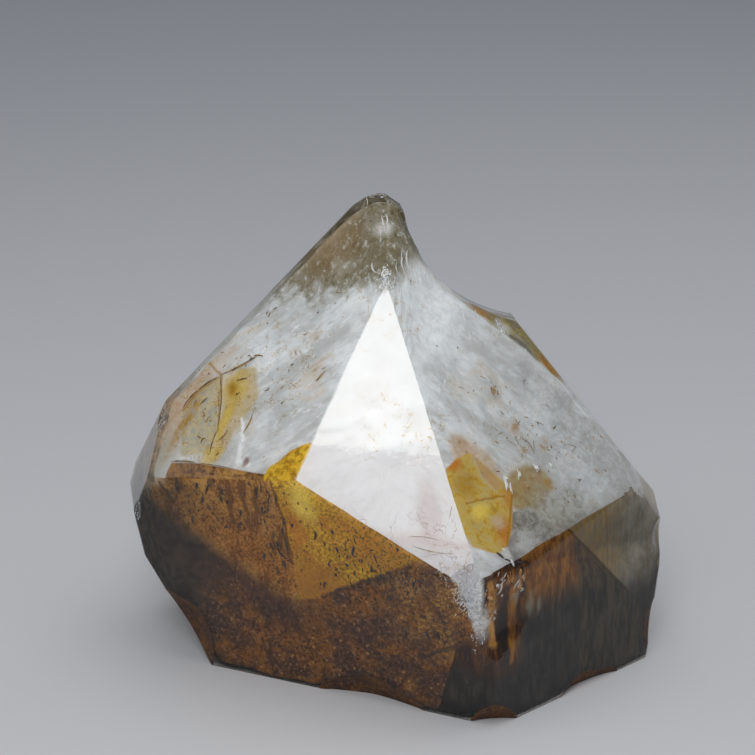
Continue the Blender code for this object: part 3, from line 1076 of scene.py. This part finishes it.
def skin_stain(make, place):
    """A thin film of stain on the skin: faint streaks and rusty veins, grit and black flecks
    on the left prism face, and upright streaks on the right one."""
    streaks = make.noise(streamed(make, place, 3), 0.7, 3, 0.6)
    coat = Coat(make, make.tint(make.ease(streaks, 0.52, 0.34), CLEAR, FILM_GREY))
    region = make.ease(make.noise(place, 0.045, 2, 0.5), 0.47, 0.60)
    stirred = make.use("Stir", Place=place, Length=2.5, Amount=1.6)
    coat.lay((region, veins(make, stirred, 9, 0.010)), FILM_RUST, 0.9)
    coat.lay((region, grains(make, stirred, 1.7, 0.34, 0.16)), FILM_RUST, 0.8)

    front = on_plane(make, place, "prism_left")
    grit = make.ease(make.noise(place, 1.1, 3, 0.75), 0.50, 0.38)
    coat.lay((front, grit), FILM_GRIT, 0.4)
    iron = grains(make, make.stretched(stirred, 1, 1, 0.42), 1.6, 0.27, 0.16)
    crowd = make.ease(make.noise(place, 0.12, 3, 0.6), 0.44, 0.56)
    coat.lay((front, iron, crowd), FILM_IRON, 0.9)
    right = on_plane(make, place, "prism_right")
    tall = make.noise(make.stretched(place, 1, 1, 0.12), 0.9, 3, 0.65)
    coat.lay((right, make.ease(tall, 0.54, 0.38)), FILM_GRIT, 0.6)
    return coat.colour


def skin_relief(make, place):
    """The skin's normal: slow waves, level growth lines on the prism, and a fine orange peel."""
    low = make.ease(make.part(place, "Z"), GROWTH_NONE, GROWTH_FULL)
    lines = make.noise(make.stretched(place, 0.03, 0.03, 1.1), 1, 3, 0.7)
    height = make.maths("MULTIPLY", all_of(make, low, lines), GROWTH_HEIGHT)
    height = make.maths("ADD", height, make.noise(place, 0.12, 3))
    peel = make.maths("MULTIPLY", make.noise(place, 0.8, 2), PEEL_HEIGHT)
    return make.bump(make.maths("ADD", height, peel), *SKIN_BUMP)


def mineral(name, under, over, scale, roughness):
    """A plain mineral whose colour wanders between two shades."""
    material, make, output = new_material(name)
    cloud = make.noise(make.place(), scale, 4, 0.65)
    opaque(make, output, make.tint(make.ease(cloud, 0.40, 0.60), under, over),
           Roughness=roughness)
    return material


def raw_stone():
    """Raw broken stone round the base, stained as the stone inside it is."""
    material, make, output = new_material("raw_stone")
    place = make.place()
    relief = make.bump(make.noise(place, 0.5, 5, 0.7), *STONE_BUMP)
    opaque(make, output, make.tint(0.55, rust_rock(make, place), UMBER), Roughness=0.75,
           Normal=relief)
    return material


def clear_quartz():
    """Clear smoky quartz that lets lamps light what lies inside it."""
    material, make, output = new_material("clear_quartz")
    place = make.place()
    glass = make.fill(make.add("BsdfPrincipled"), Base_Color=skin_stain(make, place),
                      Roughness=0.02, IOR=QUARTZ_IOR, Transmission_Weight=1.0,
                      Normal=skin_relief(make, place))
    open_way = make.fill(make.add("BsdfTransparent"), Color=OPEN_TINT)
    shadow = make.add("LightPath").outputs["Is Shadow Ray"]
    mix = make.add("MixShader")
    for socket, value in zip(mix.inputs, (shadow, glass.outputs[0], open_way.outputs[0])):
        make.feed(socket, value)
    smoke = make.fill(make.add("VolumeAbsorption"), Color=SMOKE_TINT, Density=SMOKE_DENSITY)
    make.fill(output, Surface=mix.outputs[0], Volume=smoke.outputs[0])
    return material


def milk(make, place):
    """Milky quartz: bluish white, with grey and warm streaks that stream away from the tip."""
    drawn = streamed(make, place, 2.6)
    broad = make.noise(drawn, 0.11, 5, 0.62, 0.6)
    fine = make.noise(drawn, 0.50, 6, 0.72, 0.3)
    cloud = make.noise(place, 0.055, 3, 0.55)
    coat = Coat(make, make.tint(make.ease(broad, 0.36, 0.62), MILK_GREY, MILK))
    coat.lay(make.ease(fine, 0.50, 0.36), MILK_GREY, 0.75)
    coat.lay(make.ease(fine, 0.52, 0.72), MILK_BRIGHT, 0.8)
    coat.lay(make.ease(cloud, 0.56, 0.70), MILK_BRIGHT, 0.6)
    coat.lay((make.ease(cloud, 0.50, 0.40), make.ease(broad, 0.46, 0.62)), MILK_WARM, 0.6)
    return coat


def rust_rock(make, place):
    """Rough iron-stained quartz: mauve and rust in patches, with pale grains and dark pits."""
    patch = make.ease(make.noise(place, 0.11, 5, 0.66, 0.3), 0.42, 0.60)
    fine = make.noise(place, 0.75, 6, 0.85)
    coat = Coat(make, make.tint(patch, MAUVE, RUST))
    coat.lay(make.ease(fine, 0.51, 0.40), UMBER, 0.9)
    coat.lay(make.ease(fine, 0.54, 0.64), RUST_PALE, 0.9)
    coat.lay(grains(make, place, 1.9, 0.30, 0.22), TAN_PALE, 0.7)
    coat.lay(veins(make, place, 12, 0.010), UMBER, 0.9)
    return coat.colour


def sheets(coat, name, place, stirred, depth=1.8):
    """A face's sheet with natural outlines, and one with straight ones."""
    return (Sheet(coat.make, where, name, depth) for where in (stirred, place))


# ---------------------------------------------------------------- what each finish shows
def paint_low(coat, place, stirred):
    """Towards the base the milk turns to smoke and rust, more on one side than the other, and
    smoke fills the flank."""
    make = coat.make
    drift = make.maths("MULTIPLY", make.noise(place, 0.03, 3, 0.5), 60)
    height = make.maths("ADD", make.part(place, "Z"), drift)
    coat.lay(make.ease(height, 84, 62), PANE_TAN, 0.8)
    coat.lay(make.ease(height, 68, 48), SMOKE_PALE, 0.85)
    coat.lay(make.ease(height, 50, 34), rust_rock(make, place), 0.9)
    coat.mottle = make.ease(make.noise(place, 0.25, 5, 0.66, 0.4), 0.38, 0.62)
    coat.lay(ball(make, place, (-82, -4, 62), 28, 0.25), (OLIVE_DARK, HAZE), 0.85)
    coat.lay(ball(make, place, (-76, -10, 22), 34, 0.25), (SMOKE, SMOKE_PALE), 0.96)


def paint_tip(coat, place, stirred):
    """Smoky olive quartz in the tip, cloudy at its lower margin and rusty on its left."""
    make = coat.make
    drawn = make.stretched(place, 1, 1, 0.45)
    cloud = make.noise(drawn, 0.18, 6, 0.66, 0.4)
    ragged = make.maths("ADD", make.dot(place, TIP_RISE), make.maths("MULTIPLY", cloud, 26))
    wisps = make.noise(drawn, 0.6, 5, 0.75)
    inner = Coat(make, make.tint(make.ease(cloud, 0.40, 0.72), OLIVE, OLIVE_PALE))
    inner.lay(make.ease(wisps, 0.53, 0.68), MILK, 0.7)
    inner.lay(make.ease(wisps, 0.46, 0.34), OLIVE_DARK, 0.75)
    for glow in TIP_GLOWS:
        inner.lay(ball(make, place, *glow, 0.9), MILK_BRIGHT, 0.7)
    inner.lay(ball(make, place, *TIP_RUST, 0.9), HAZE, 0.3)
    coat.lay(make.ease(ragged, 121, 127), inner.colour)


def paint_bud(coat, place, stirred):
    """Clear olive quartz in the side bud, at the foot of the great fracture. It has a straight
    inner margin with a dark line on it, and is orange towards both its ends."""
    make = coat.make
    beyond = make.dot(place, BUD_FACING)
    bud = all_of(make, ball(make, stirred, *BUD, 0.16),
                 make.ease(beyond, BUD_DISTANCE - 0.4, BUD_DISTANCE + 0.4))
    coat.mottle = make.ease(make.noise(place, 0.30, 5, 0.66, 0.4), 0.38, 0.62)
    coat.lay(bud, (OLIVE, OLIVE_GOLD), 0.95)
    ends = any_of(make, *(ball(make, place, *end, 0.5) for end in BUD_ENDS))
    coat.lay((bud, ends), TAN, 0.7)
    away = make.maths("ABSOLUTE", make.maths("SUBTRACT", beyond, BUD_DISTANCE + 0.6))
    coat.lay((ball(make, place, *BUD_LINE, 0.4), make.ease(away, 1, 0.2)), OLIVE_DARK, 0.85)
    # Painted highlight: the white sparkle in the clear bud.
    coat.lay((bud, ball(make, place, *BUD_FLASH, 0.6)), MILK, 0.6)


def paint_window(coat, place, stirred):
    """Beneath the window face: clean milk, made whiter in part as painted light, painted shade in
    its lower part, a rose haze and a few fine cracks.
    """
    make = coat.make
    loose, plain = sheets(coat, "window", place, stirred)
    # Partly painted light: the milk beneath the window is made whiter, so that this face, which
    # mirrors the softbox, reads as bright.
    coat.lay(0.8, WINDOW_MILK)
    coat.lay(loose.spot((11.5, -27), (3.2, 9.5), 6, 0.5), ROSE, 0.9)
    # Painted shade: the window darker below the line where the softbox's two panels meet in its
    # reflection.
    coat.lay(plain.cut((-24, -8), (12, -10.5), -0.6), WINDOW_SHADE, 0.5)
    coat.lay(loose.cut((12, -33.5), (26, -34), -0.8), WINDOW_SHADE, 0.8)
    low = make.ease(plain.part("Y"), -22, -32)
    coat.lay((veins(make, stirred, 12, 0.008), low), TAN_DEEP, 0.6)
    coat.lay(loose.spot((12, -34), (12, 2), -6, 0.7), ROSE, 0.5)


def left_flame(coat, at):
    """A warm margin, a pale pane, and the gold flame beside it."""
    coat.lay(at.spot((-51.5, -12), (8.5, 24), -14, 0.5), (HAZE, MILK_WARM), 0.85)
    coat.lay(at.spot((-38, 22), (2.6, 34), -36, 0.8), MILK_WARM, 0.7)
    coat.lay(at.spot((-49.5, -29), (5, 7), -10, 0.8), OLIVE_PALE, 0.6)
    pane = at.inside(0.7, (-47.5, -15), (-43, -27), (-34.5, -25), (-34.2, -16), (-39.5, -2.6),
                     (-44.5, -7.5))
    coat.lay(pane, (OLIVE_PALE, GOLD_PALE), 0.7)
    flame = at.inside(0.9, (-39.6, -2.3), (-34.5, -17), (-34, -27), (-31, -27.5), (-27.5, -15),
                      (-25, -7), (-29.2, 2), (-31, 1.5))
    coat.lay(flame, (GOLD_PALE, MILK_WARM), 0.85)
    glows = at.spots(((-33.8, -5.2), (4.2, 5), 10, 0.7), ((-33, -14), (1.6, 9), -2, 0.7),
                     ((-33.2, -24.5), (2.4, 3.4), -30, 0.6))
    coat.lay(glows, (GOLD_SOFT, GOLD_FLAME), 0.8)
    coat.lay(at.spot((-34.4, -5.2), (1.7, 2.2), 10, 0.8), GOLD_DEEP, 0.9)
    coat.lay((coat.mottle, at.spot((-45.5, -19), (1.4, 9), -12, 0.7)), GOLD_DEEP, 0.9)


def left_iron(coat, at, stirred, mottle):
    """Broken veins of iron, and lines round the flame."""
    stains = at.spots(((-37, -10), (14, 20), -12, 0.3), ((-18, 3), (9, 9), 0, 0.6))
    broken = coat.make.ease(mottle, 0.46, 0.56)
    coat.lay((stains, veins(coat.make, stirred, 7, 0.014), broken), GOLD_DEEP, 0.9)
    outlines = at.lines(((-46.6, 1.5), (-39.5, -2.4), 0.7), ((-39.5, -2.4), (-34, -17.5), 0.6),
                        ((-47.5, -14), (-44.5, -7.8), 0.9), ((-44.5, -7.8), (-40.1, -3.3), 0.6))
    coat.lay(outlines, GOLD_DEEP, 0.7)


def left_foot(coat, at, plain, mottle):
    """The brown band and the gold lobe at the face's foot, and white streaks above them."""
    band = plain.inside(0.35, (-46, -40), (-10, -40), (-14.6, -26.4), (-22.8, -27), (-37, -28),
                        (-45, -29.7))
    coat.lay(band, (BAND_DEEP, BAND), 0.97)
    coat.lay((band, at.spot((-25, -30), (8, 3.4), 0, 0.6), coat.mottle), TAN_PALE, 0.5)
    lobe = at.inside(0.35, (-14.6, -25.5), (-14, -40), (2, -40), (-2, -12.5), (-9.6, -18.6))
    coat.lay(lobe, (GOLD_DEEP, GOLD))
    streaks = at.lines(((-27.6, -13), (-25.2, -18.7), 1), ((-25.2, -18.7), (-24.2, -25.4), 1.5),
                       ((-24, -24.6), (-20.6, -25.6), 1.1))
    coat.lay((streaks, coat.make.ease(mottle, 0.34, 0.46)), MILK_BRIGHT, 0.95)
    coat.lay(at.spot((-21.9, -24.7), (0.9, 1.3), 0, 0.5), TAN_DEEP, 0.75)


def paint_left(coat, place, stirred):
    """Beneath the left upper face: the gold flame, its outlines, scattered iron, the foot."""
    at, plain = sheets(coat, "point_left", place, stirred)
    mottle = coat.make.noise(place, 0.60, 5, 0.7, 0.5)
    coat.mottle = coat.make.ease(mottle, 0.36, 0.60)
    left_flame(coat, at)
    left_iron(coat, at, stirred, mottle)
    left_foot(coat, at, plain, mottle)


def paint_stone(coat, place, stirred):
    """Rusty rock all over."""
    coat.colour = rust_rock(coat.make, place)


def front_smoke(coat, at):
    """Smoke at the lower left, and the dark trail that it leaves."""
    smoky = at.inside(7, (-70, 8), (-66, -50), (-42, -44), (-28, 8))
    coat.lay(smoky, (SMOKE, SMOKE_PALE), 0.94)
    coat.lay(at.spot((-28, -32), (22, 6), -20, 0.8), (UMBER, MAUVE), 0.6)


def front_sheet(coat, at, place, grain, gritty):
    """A banded tan sheet, darker and then paler at its left end."""
    make = coat.make
    bands = make.noise(make.stretched(place, 1, 1, 0.22), 0.22, 4, 0.7)
    sheet = Coat(make, make.tint(coat.mottle, TAN_DEEP, TAN), gritty)
    sheet.lay(gritty, TAN_PALE, 0.6)
    sheet.lay(make.ease(bands, 0.50, 0.42), TAN_DEEP, 0.85)
    sheet.lay(make.ease(bands, 0.55, 0.66), TAN_PALE, 0.6)
    sheet.lay(make.ease(grain, 0.46, 0.36), UMBER, 0.4)
    sheet.lay(at.spot((-26, -20), (18, 5.5), -26, 0.8), (TAN_DEEP, ORANGE), 0.55)
    tan = at.inside(4.2, (-59, -7.5), (-42, -20.6), (-11, -35.5), (-6, -26), (-12, 9), (-52, 9),
                    (-58.5, 2))
    coat.lay(tan, sheet.colour)
    coat.lay(at.spot((-50, -6), (8, 8), 0, 0.8), UMBER, 0.45)
    coat.lay(at.spot((-55.5, 0.5), (3.6, 5), 20, 0.5), MILK_WARM, 0.8)


def front_gold(coat, at, plain, grain, swirl):
    """The gold window: orange to the right, tan at its foot, bright near its upper end."""
    make = coat.make
    side = any_of(make, plain.cut((-19.6, 6), (-15.2, -9), 0.5),
                  plain.cut((-15.2, -9), (-11.2, -35), 0.5))
    foot = all_of(make, at.cut((-14, -34.5), (3.7, -25.4), 0.8),
                  at.cut((3.7, -25.4), (26, -12.4), 0.8))
    gold = all_of(make, side, foot)
    coat.lay(gold, (GOLD_DEEP, GOLD))
    coat.lay((gold, make.ease(swirl, 0.48, 0.66)), ORANGE, 0.5)
    right = all_of(make, gold, at.spot((15, -13), (17, 8), -28, 0.6))
    coat.lay((right, coat.mottle), ORANGE, 0.8)
    coat.lay((right, make.ease(grain, 0.46, 0.36)), UMBER, 0.6)
    coat.lay((gold, at.spot((-7, -29), (10, 9), -20, 0.6)), TAN, 0.85)
    coat.lay((gold, at.spot((-12, -11), (2.8, 8), 14, 0.7)), ORANGE, 0.6)
    coat.lay((gold, at.spot((-9.5, -2.2), (3, 5), 24, 0.8)), GOLD_BRIGHT, 0.9)
    outline = plain.lines(((-19.6, 6), (-15.2, -9), 0.6), ((-15.2, -9), (-13.5, -20), 0.6))
    coat.lay(outline, TAN_DEEP, 0.8)


def paint_front(coat, place, stirred):
    """Beneath the left prism face: a tan sheet, the gold window, smoke, and rusty rock with
    brown and pale grains and a few dark cracks."""
    make = coat.make
    at, plain = sheets(coat, "prism_left", place, stirred)
    grain = make.noise(place, 1.3, 4, 0.7)
    swirl = make.noise(place, 0.20, 5, 0.6, 0.8)
    broad = make.ease(swirl, 0.36, 0.64)
    gritty = make.ease(grain, 0.42, 0.60)
    coat.mottle = broad
    front_smoke(coat, at)
    front_sheet(coat, at, place, grain, gritty)
    coat.mottle = gritty
    front_gold(coat, at, plain, grain, swirl)
    coat.lay((at.spot((31, -27), (16, 15), -40, 0.5), broad), (TAN_DEEP, TAN_PALE), 0.75)
    coat.lay((at.spot((21, -22), (4, 2.4), -10, 0.8), gritty), RUST_PALE, 0.9)
    found = at.lines(((-49.5, 2), (-47, -5.6), 0.8), ((-53.6, -3.8), (-49.6, -9), 1),
                     ((43, -33), (24, -44), 1.2))
    coat.lay(found, UMBER, 0.7)


def right_clouds(coat, at):
    """A warm haze, the olive patch, the clear blob below it, and painted shade and light in the
    milk.
    """
    haze = at.inside(1.6, (-4, -16), (9, -25), (8, -18), (0, -9.5), (-3, -10))
    coat.lay(haze, (HAZE, MILK_WARM), 0.8)
    olive = at.inside(1.2, (16, -22), (9.8, -25), (9.3, -33.4), (17, -35), (24, -30.5),
                      (23, -24.6))
    coat.lay(olive, (GOLD_DEEP, OLIVE_GOLD), 0.9)
    coat.lay(at.spot((21, -38), (12, 6.5), 0, 0.5), (OLIVE, OLIVE_PALE), 0.75)
    blob = at.inside(0.8, (14, -34.2), (7.5, -34), (3.2, -42), (4, -52), (18, -52),
                     (19.7, -43.5))
    coat.lay(blob, (PANE_GREY, PANE_PALE), 0.9)
    coat.lay(at.spot((10, -44), (4, 3.6), 0, 0.7), MILK, 0.5)
    coat.lay(at.spot((37, -31), (13, 8), 0, 0.8), MILK, 0.25)
    # Painted shade: the milk darker towards the right and lower down.
    coat.lay(at.spot((38, -20), (20, 30), 14, 0.9), (SHADE, MILK_GREY), 0.55)
    # Painted light: the milk brighter near the top of the face.
    coat.lay(at.spot((8, 27), (8, 14), -20, 0.8), (MILK, MILK_BRIGHT), 0.85)


def right_gold(coat, at, plain, mottle):
    """The gold patch: its marks, the pale facet at its upper right, its rim and creases."""
    make = coat.make
    patch = plain.inside(0.3, (1.7, -15.6), (-2.8, -16.3), (-7, -18.5), (-9, -30), (-7, -40.5),
                         (-0.6, -44.2), (3.2, -42.5), (6.2, -38.8), (10.4, -29.5), (9.6, -26.5),
                         (5.2, -20.4))
    gold = Coat(make, make.tint(coat.mottle, GOLD_SOFT, GOLD_PALE))
    gold.lay(make.ease(mottle, 0.48, 0.36), GOLD_DEEP, 0.45)
    coat.lay(patch, gold.colour)
    for middle, size, ink, strength in GOLD_MARKS:
        coat.lay((patch, at.spot(middle, size, 0, 0.7)), ink, strength)
    facet = plain.inside(0.3, (2.3, -16.4), (2.8, -23.2), (5.7, -27.9), (8, -26), (5.4, -20.8))
    coat.lay(facet, HAZE, 0.7)
    rim = plain.lines(((1.7, -15.6), (9.6, -26.5), 0.5), ((1.7, -15.6), (2.8, -23.2), 0.5),
                      ((2.8, -23.2), (5.7, -27.9), 0.5))
    coat.lay(rim, MILK_WARM, 0.7)
    crease = any_of(make, plain.line((9.9, -30), (3, -42.8), 0.6),
                    at.line((-4.6, -28.6), (7.6, -29.6), 0.5))
    coat.lay(crease, GOLD_DEEP, 0.9)


def paint_right(coat, place, stirred):
    """Beneath the right upper face: the gold patch, the olive one beside it, and iron."""
    make = coat.make
    at, plain = sheets(coat, "point_right", place, stirred)
    mottle = make.noise(place, 0.45, 5, 0.7, 0.6)
    coat.mottle = make.ease(mottle, 0.38, 0.62)
    right_clouds(coat, at)
    right_gold(coat, at, plain, mottle)
    stains = at.spots(((20, -14), (10, 14), -20, 0.6), ((34, -22), (12, 12), 0, 0.6))
    found = (stains, veins(make, stirred, 8, 0.012), make.ease(mottle, 0.48, 0.58))
    coat.lay(found, GOLD_DEEP, 0.85)
    browns = at.spots(*((*brown, -25, 0.8) for brown in BROWN_SPOTS))
    coat.lay((browns, coat.mottle), GOLD_DEEP, 0.85)


def corner_pane(coat, at, plain, height, soft):
    """A paler pane to the right, with a dark edge."""
    make = coat.make
    pane = Coat(make, make.tint(coat.mottle, PANE_OLIVE, PANE_TAN), soft)
    pane.lay(make.ease(at.part("X"), 26, 42), (PANE_GREY, PANE_PALE), 0.8)
    # Partly painted shade: the pane turns to smoke lower down.
    pane.lay(make.ease(height, -17, -28), SMOKE, 0.92)
    coat.lay(plain.cut((13.3, -0.6), (37, -24), 0.35), pane.colour, 0.95)
    coat.lay(plain.line((13.3, -0.6), (37, -24), 0.7), UMBER, 0.8)


def corner_splinters(coat, at, height, streak):
    """The splintered zone beside the chipped edge: torn brown, a bright strip, a fin with painted
    shade in the hollow behind it, pale slivers and a crack."""
    make = coat.make
    torn = Coat(make, make.tint(make.ease(streak, 0.44, 0.60), UMBER, TAN_DEEP))
    torn.lay(make.ease(streak, 0.58, 0.68), TAN, 0.8)
    torn.lay(make.ease(height, -26, -34), UMBER, 0.9)
    zone = at.inside(1.2, (-3, -3), (-24, 3), (-24, -34), (-7, -34), (-2.4, -14))
    coat.lay(zone, torn.colour)
    strip = at.inside(0.5, (-11.9, -9), (-14, -9), (-15.8, -26), (-13.6, -26))
    coat.lay(strip, (TAN, TAN_PALE), 0.9)
    fin = at.inside(0.5, (-4.4, -11), (-7.4, -11), (-9.6, -31), (-8.2, -31))
    coat.lay(fin, (TAN_DEEP, CORNER_BROWN), 0.9)
    # Painted shade in the hollow behind the fin.
    coat.lay(at.spot((-10.6, -22.5), (1.7, 8), -3, 0.5), SMOKE, 0.9)
    pales = at.spots(((-1.2, -17), (0.9, 2.6), -6, 0.7), ((1.6, -17.6), (0.8, 2.2), -6, 0.7),
                     ((-5.2, -12), (1, 3.4), -8, 0.7))
    coat.lay(pales, OLIVE_PALE, 0.6)
    crack = at.lines(((-13, -0.5), (-8, -4), 1.3), ((-8, -4), (-1.5, -7), 1.2))
    coat.lay(crack, UMBER, 0.95)


def paint_corner(coat, place, stirred):
    """Behind the right prism face: brown under the arris and smoke lower down, the smoke in part
    painted shade, a paler pane to the right, and the splintered zone beside the chipped edge."""
    make = coat.make
    at, plain = sheets(coat, "clear_corner", place, stirred, 0)
    height = at.part("Y")
    streak = make.noise(make.stretched(place, 1, 1, 0.22), 0.5, 6, 0.75)
    coat.mottle = make.ease(streak, 0.40, 0.60)
    soft = make.ease(make.noise(place, 0.16, 5, 0.65), 0.36, 0.64)
    # Partly painted shade: dark smoke over the corner, standing in for the shaded underside of
    # the milk seen through the clear glass.
    coat.colour = make.tint(all_of(make, soft, coat.mottle), SMOKE, SMOKE_PALE)
    coat.lay(make.ease(height, -23, -10), (TAN_DEEP, CORNER_BROWN), 0.92)
    coat.lay(plain.cut((17, 3), (17.6, -40), 0.4), (SMOKE, OLIVE_DARK), 0.8)
    corner_pane(coat, at, plain, height, soft)
    corner_splinters(coat, at, height, streak)
    front = Sheet(make, stirred, "prism_left")
    rocky = (front.cut((41.6, -40), (38.6, -8), 0.9), front.cut((20, -47), (42, -33), 1.6))
    coat.lay(rocky, rust_rock(make, place), 0.95)


def paint_frost(coat, place, stirred):
    """Crazed white quartz beneath the chipped edge that runs down from the window."""
    make = coat.make
    at = Sheet(make, stirred, "prism_left")
    left = any_of(make, at.cut((28, -13), (34.6, -20.6), 0.6),
                  at.cut((34.6, -20.6), (37.9, -26.4), 0.6),
                  at.cut((37.9, -26.4), (41.2, -37), 0.6))
    chip = (left, at.cut((42.4, -37), (38.4, -8), 0.7), make.ease(at.part("Y"), -37, -31))
    coat.mottle = make.ease(make.noise(place, 1.1, 4, 0.75), 0.40, 0.60)
    coat.lay(chip, (MILK_GREY, WINDOW_MILK), 0.95)


COATS = {
    "window": (paint_window,),
    "left": (paint_tip, paint_left),
    "right": (paint_bud, paint_tip, paint_right),
    "front": (paint_stone, paint_front, paint_frost),
    "corner": (paint_corner, paint_frost),
    "flank": (paint_low, paint_bud, paint_tip),
}


def heart_finish(name):
    """One finish of the heart: milk, and the stains laid over it there."""
    material, make, output = new_material("milk_" + name)
    place = make.place()
    stirred = make.use("Stir", Place=place, Length=5, Amount=2.6)
    coat = milk(make, place)
    for paint in COATS[name]:
        paint(coat, place, stirred)
    opaque(make, output, coat.colour, Roughness=0.8, Specular_IOR_Level=0.0)
    return material


# ---------------------------------------------------------------- stage, camera and light
AIM = Vector((-5.0, 0.0, 82.0)) * MM
CAMERA_DISTANCE = 587.2 * MM
CAMERA_LIFT = radians(20.0)
CAMERA_LENS = 100.0
CAMERA_SENSOR = 36.0
CAMERA_NEAR = 0.01

# The softbox is two panels, one above the other. In metres.
KEY_REACH = 0.55                # from the middle of the window's reflection
KEY_MIDDLE_RISE = -4.0          # up the window face, in millimetres
KEY_UPPER = (0.22, 0.15, 5.3)   # width, height and radiance
KEY_LOWER = (0.22, 0.13, 3.2)
KEY_UPPER_RISE = 0.0655
KEY_LOWER_DROP = 0.0745
# The other panels: place, target, width, height and radiance.
PANELS = {
    "overhead": ((0.1, 0.0, 0.9), (0.0, 0.0, 0.06), 0.8, 0.8, 1.0),
    "left": ((-0.8, -0.1, 0.35), (0.0, 0.0, 0.06), 0.5, 0.5, 0.6),
    "right": ((0.8, 0.2, 0.3), (0.0, 0.0, 0.06), 0.5, 0.5, 0.6),
    "front_fill": ((-0.5, -0.8, 0.14), (0.0, 0.0, 0.05), 0.4, 0.3, 1.2),
}
FLOOR_REACH = 3.0
FLOOR_COLOUR = (0.78, 0.78, 0.79)
SKY_COLOUR = (0.20, 0.215, 0.24, 1.0)


def add_camera():
    """The camera, upright, in front of the crystal and looking slightly down on it."""
    data = bpy.data.cameras.new("camera")
    data.lens = CAMERA_LENS
    data.sensor_width = CAMERA_SENSOR
    data.clip_start = CAMERA_NEAR
    camera = bpy.data.objects.new("camera", data)
    back = Vector((0.0, -cos(CAMERA_LIFT), sin(CAMERA_LIFT)))
    camera.location = AIM + back * CAMERA_DISTANCE
    camera.rotation_euler = (pi / 2.0 - CAMERA_LIFT, 0.0, 0.0)
    bpy.context.scene.camera = show(camera)
    return camera


def add_panel(name, place, target, width, height, radiance):
    """A soft white light panel, its brightness given as radiance. An area lamp's power is its
    radiance times its area times pi."""
    data = bpy.data.lights.new(name, "AREA")
    data.shape = "RECTANGLE"
    data.size = width
    data.size_y = height
    data.energy = radiance * width * height * pi
    panel = bpy.data.objects.new(name, data)
    panel.location = place
    panel.rotation_euler = (Vector(target) - Vector(place)).to_track_quat("-Z", "Y").to_euler()
    panel.visible_camera = False
    return show(panel)


def add_lights(camera):
    """A softbox that the window face mirrors to the camera, an overhead, two sides and a low
    fill from the front."""
    azimuth, slope, _, _ = FACES["window"]
    middle = Vector(on_face("window", 0.0, KEY_MIDDLE_RISE)) * MM
    out = Vector(facing(azimuth, slope))
    seen = (camera.location - middle).normalized()
    place = middle + (2.0 * seen.dot(out) * out - seen) * KEY_REACH
    upper = add_panel("key_upper", place, middle, *KEY_UPPER)
    lower = add_panel("key_lower", place, middle, *KEY_LOWER)
    rise = upper.rotation_euler.to_matrix() @ Vector((0.0, 1.0, 0.0))
    upper.location += rise * KEY_UPPER_RISE
    lower.location -= rise * KEY_LOWER_DROP
    for name, about in PANELS.items():
        add_panel(name, *about)


def add_stage():
    """A plain pale floor under an even grey sky."""
    mesh = bpy.data.meshes.new("floor")
    corners = [(x * FLOOR_REACH, y * FLOOR_REACH, 0.0)
               for x, y in ((-1, -1), (1, -1), (1, 1), (-1, 1))]
    mesh.from_pydata(corners, [], [(0, 1, 2, 3)])
    floor = bpy.data.objects.new("floor", mesh)
    material, make, output = new_material("pale_floor")
    opaque(make, output, FLOOR_COLOUR, Roughness=0.7)
    mesh.materials.append(material)
    show(floor)
    world = bpy.data.worlds.new("studio")
    world.use_nodes = True
    sky = world.node_tree.nodes["Background"].inputs
    sky["Color"].default_value = SKY_COLOUR
    sky["Strength"].default_value = 1.0
    bpy.context.scene.world = world
    bpy.context.scene.view_settings.view_transform = "Standard"


def carry(piece, *materials):
    """The piece belongs to the crystal's one body and takes these finishes."""
    for material in materials:
        piece.data.materials.append(material)
    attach(piece, "root")


camera = add_camera()
add_lights(camera)
add_stage()
skin = crystal_skin()
carry(skin, clear_quartz(), raw_stone())
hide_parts("quartz_crystal")
carry(milky_heart(), *map(heart_finish, FINISHES))

minerals = {name: mineral(name, *shades) for name, shades in MINERALS.items()}
for table, shape in ((STREWN_IRON, strewn), (FROST, frosted), (STREWN_WHITE, strewn),
                     (CRACKS, cracks)):
    for name, (kind, *about) in table.items():
        carry(shape(name, *about), minerals[kind])
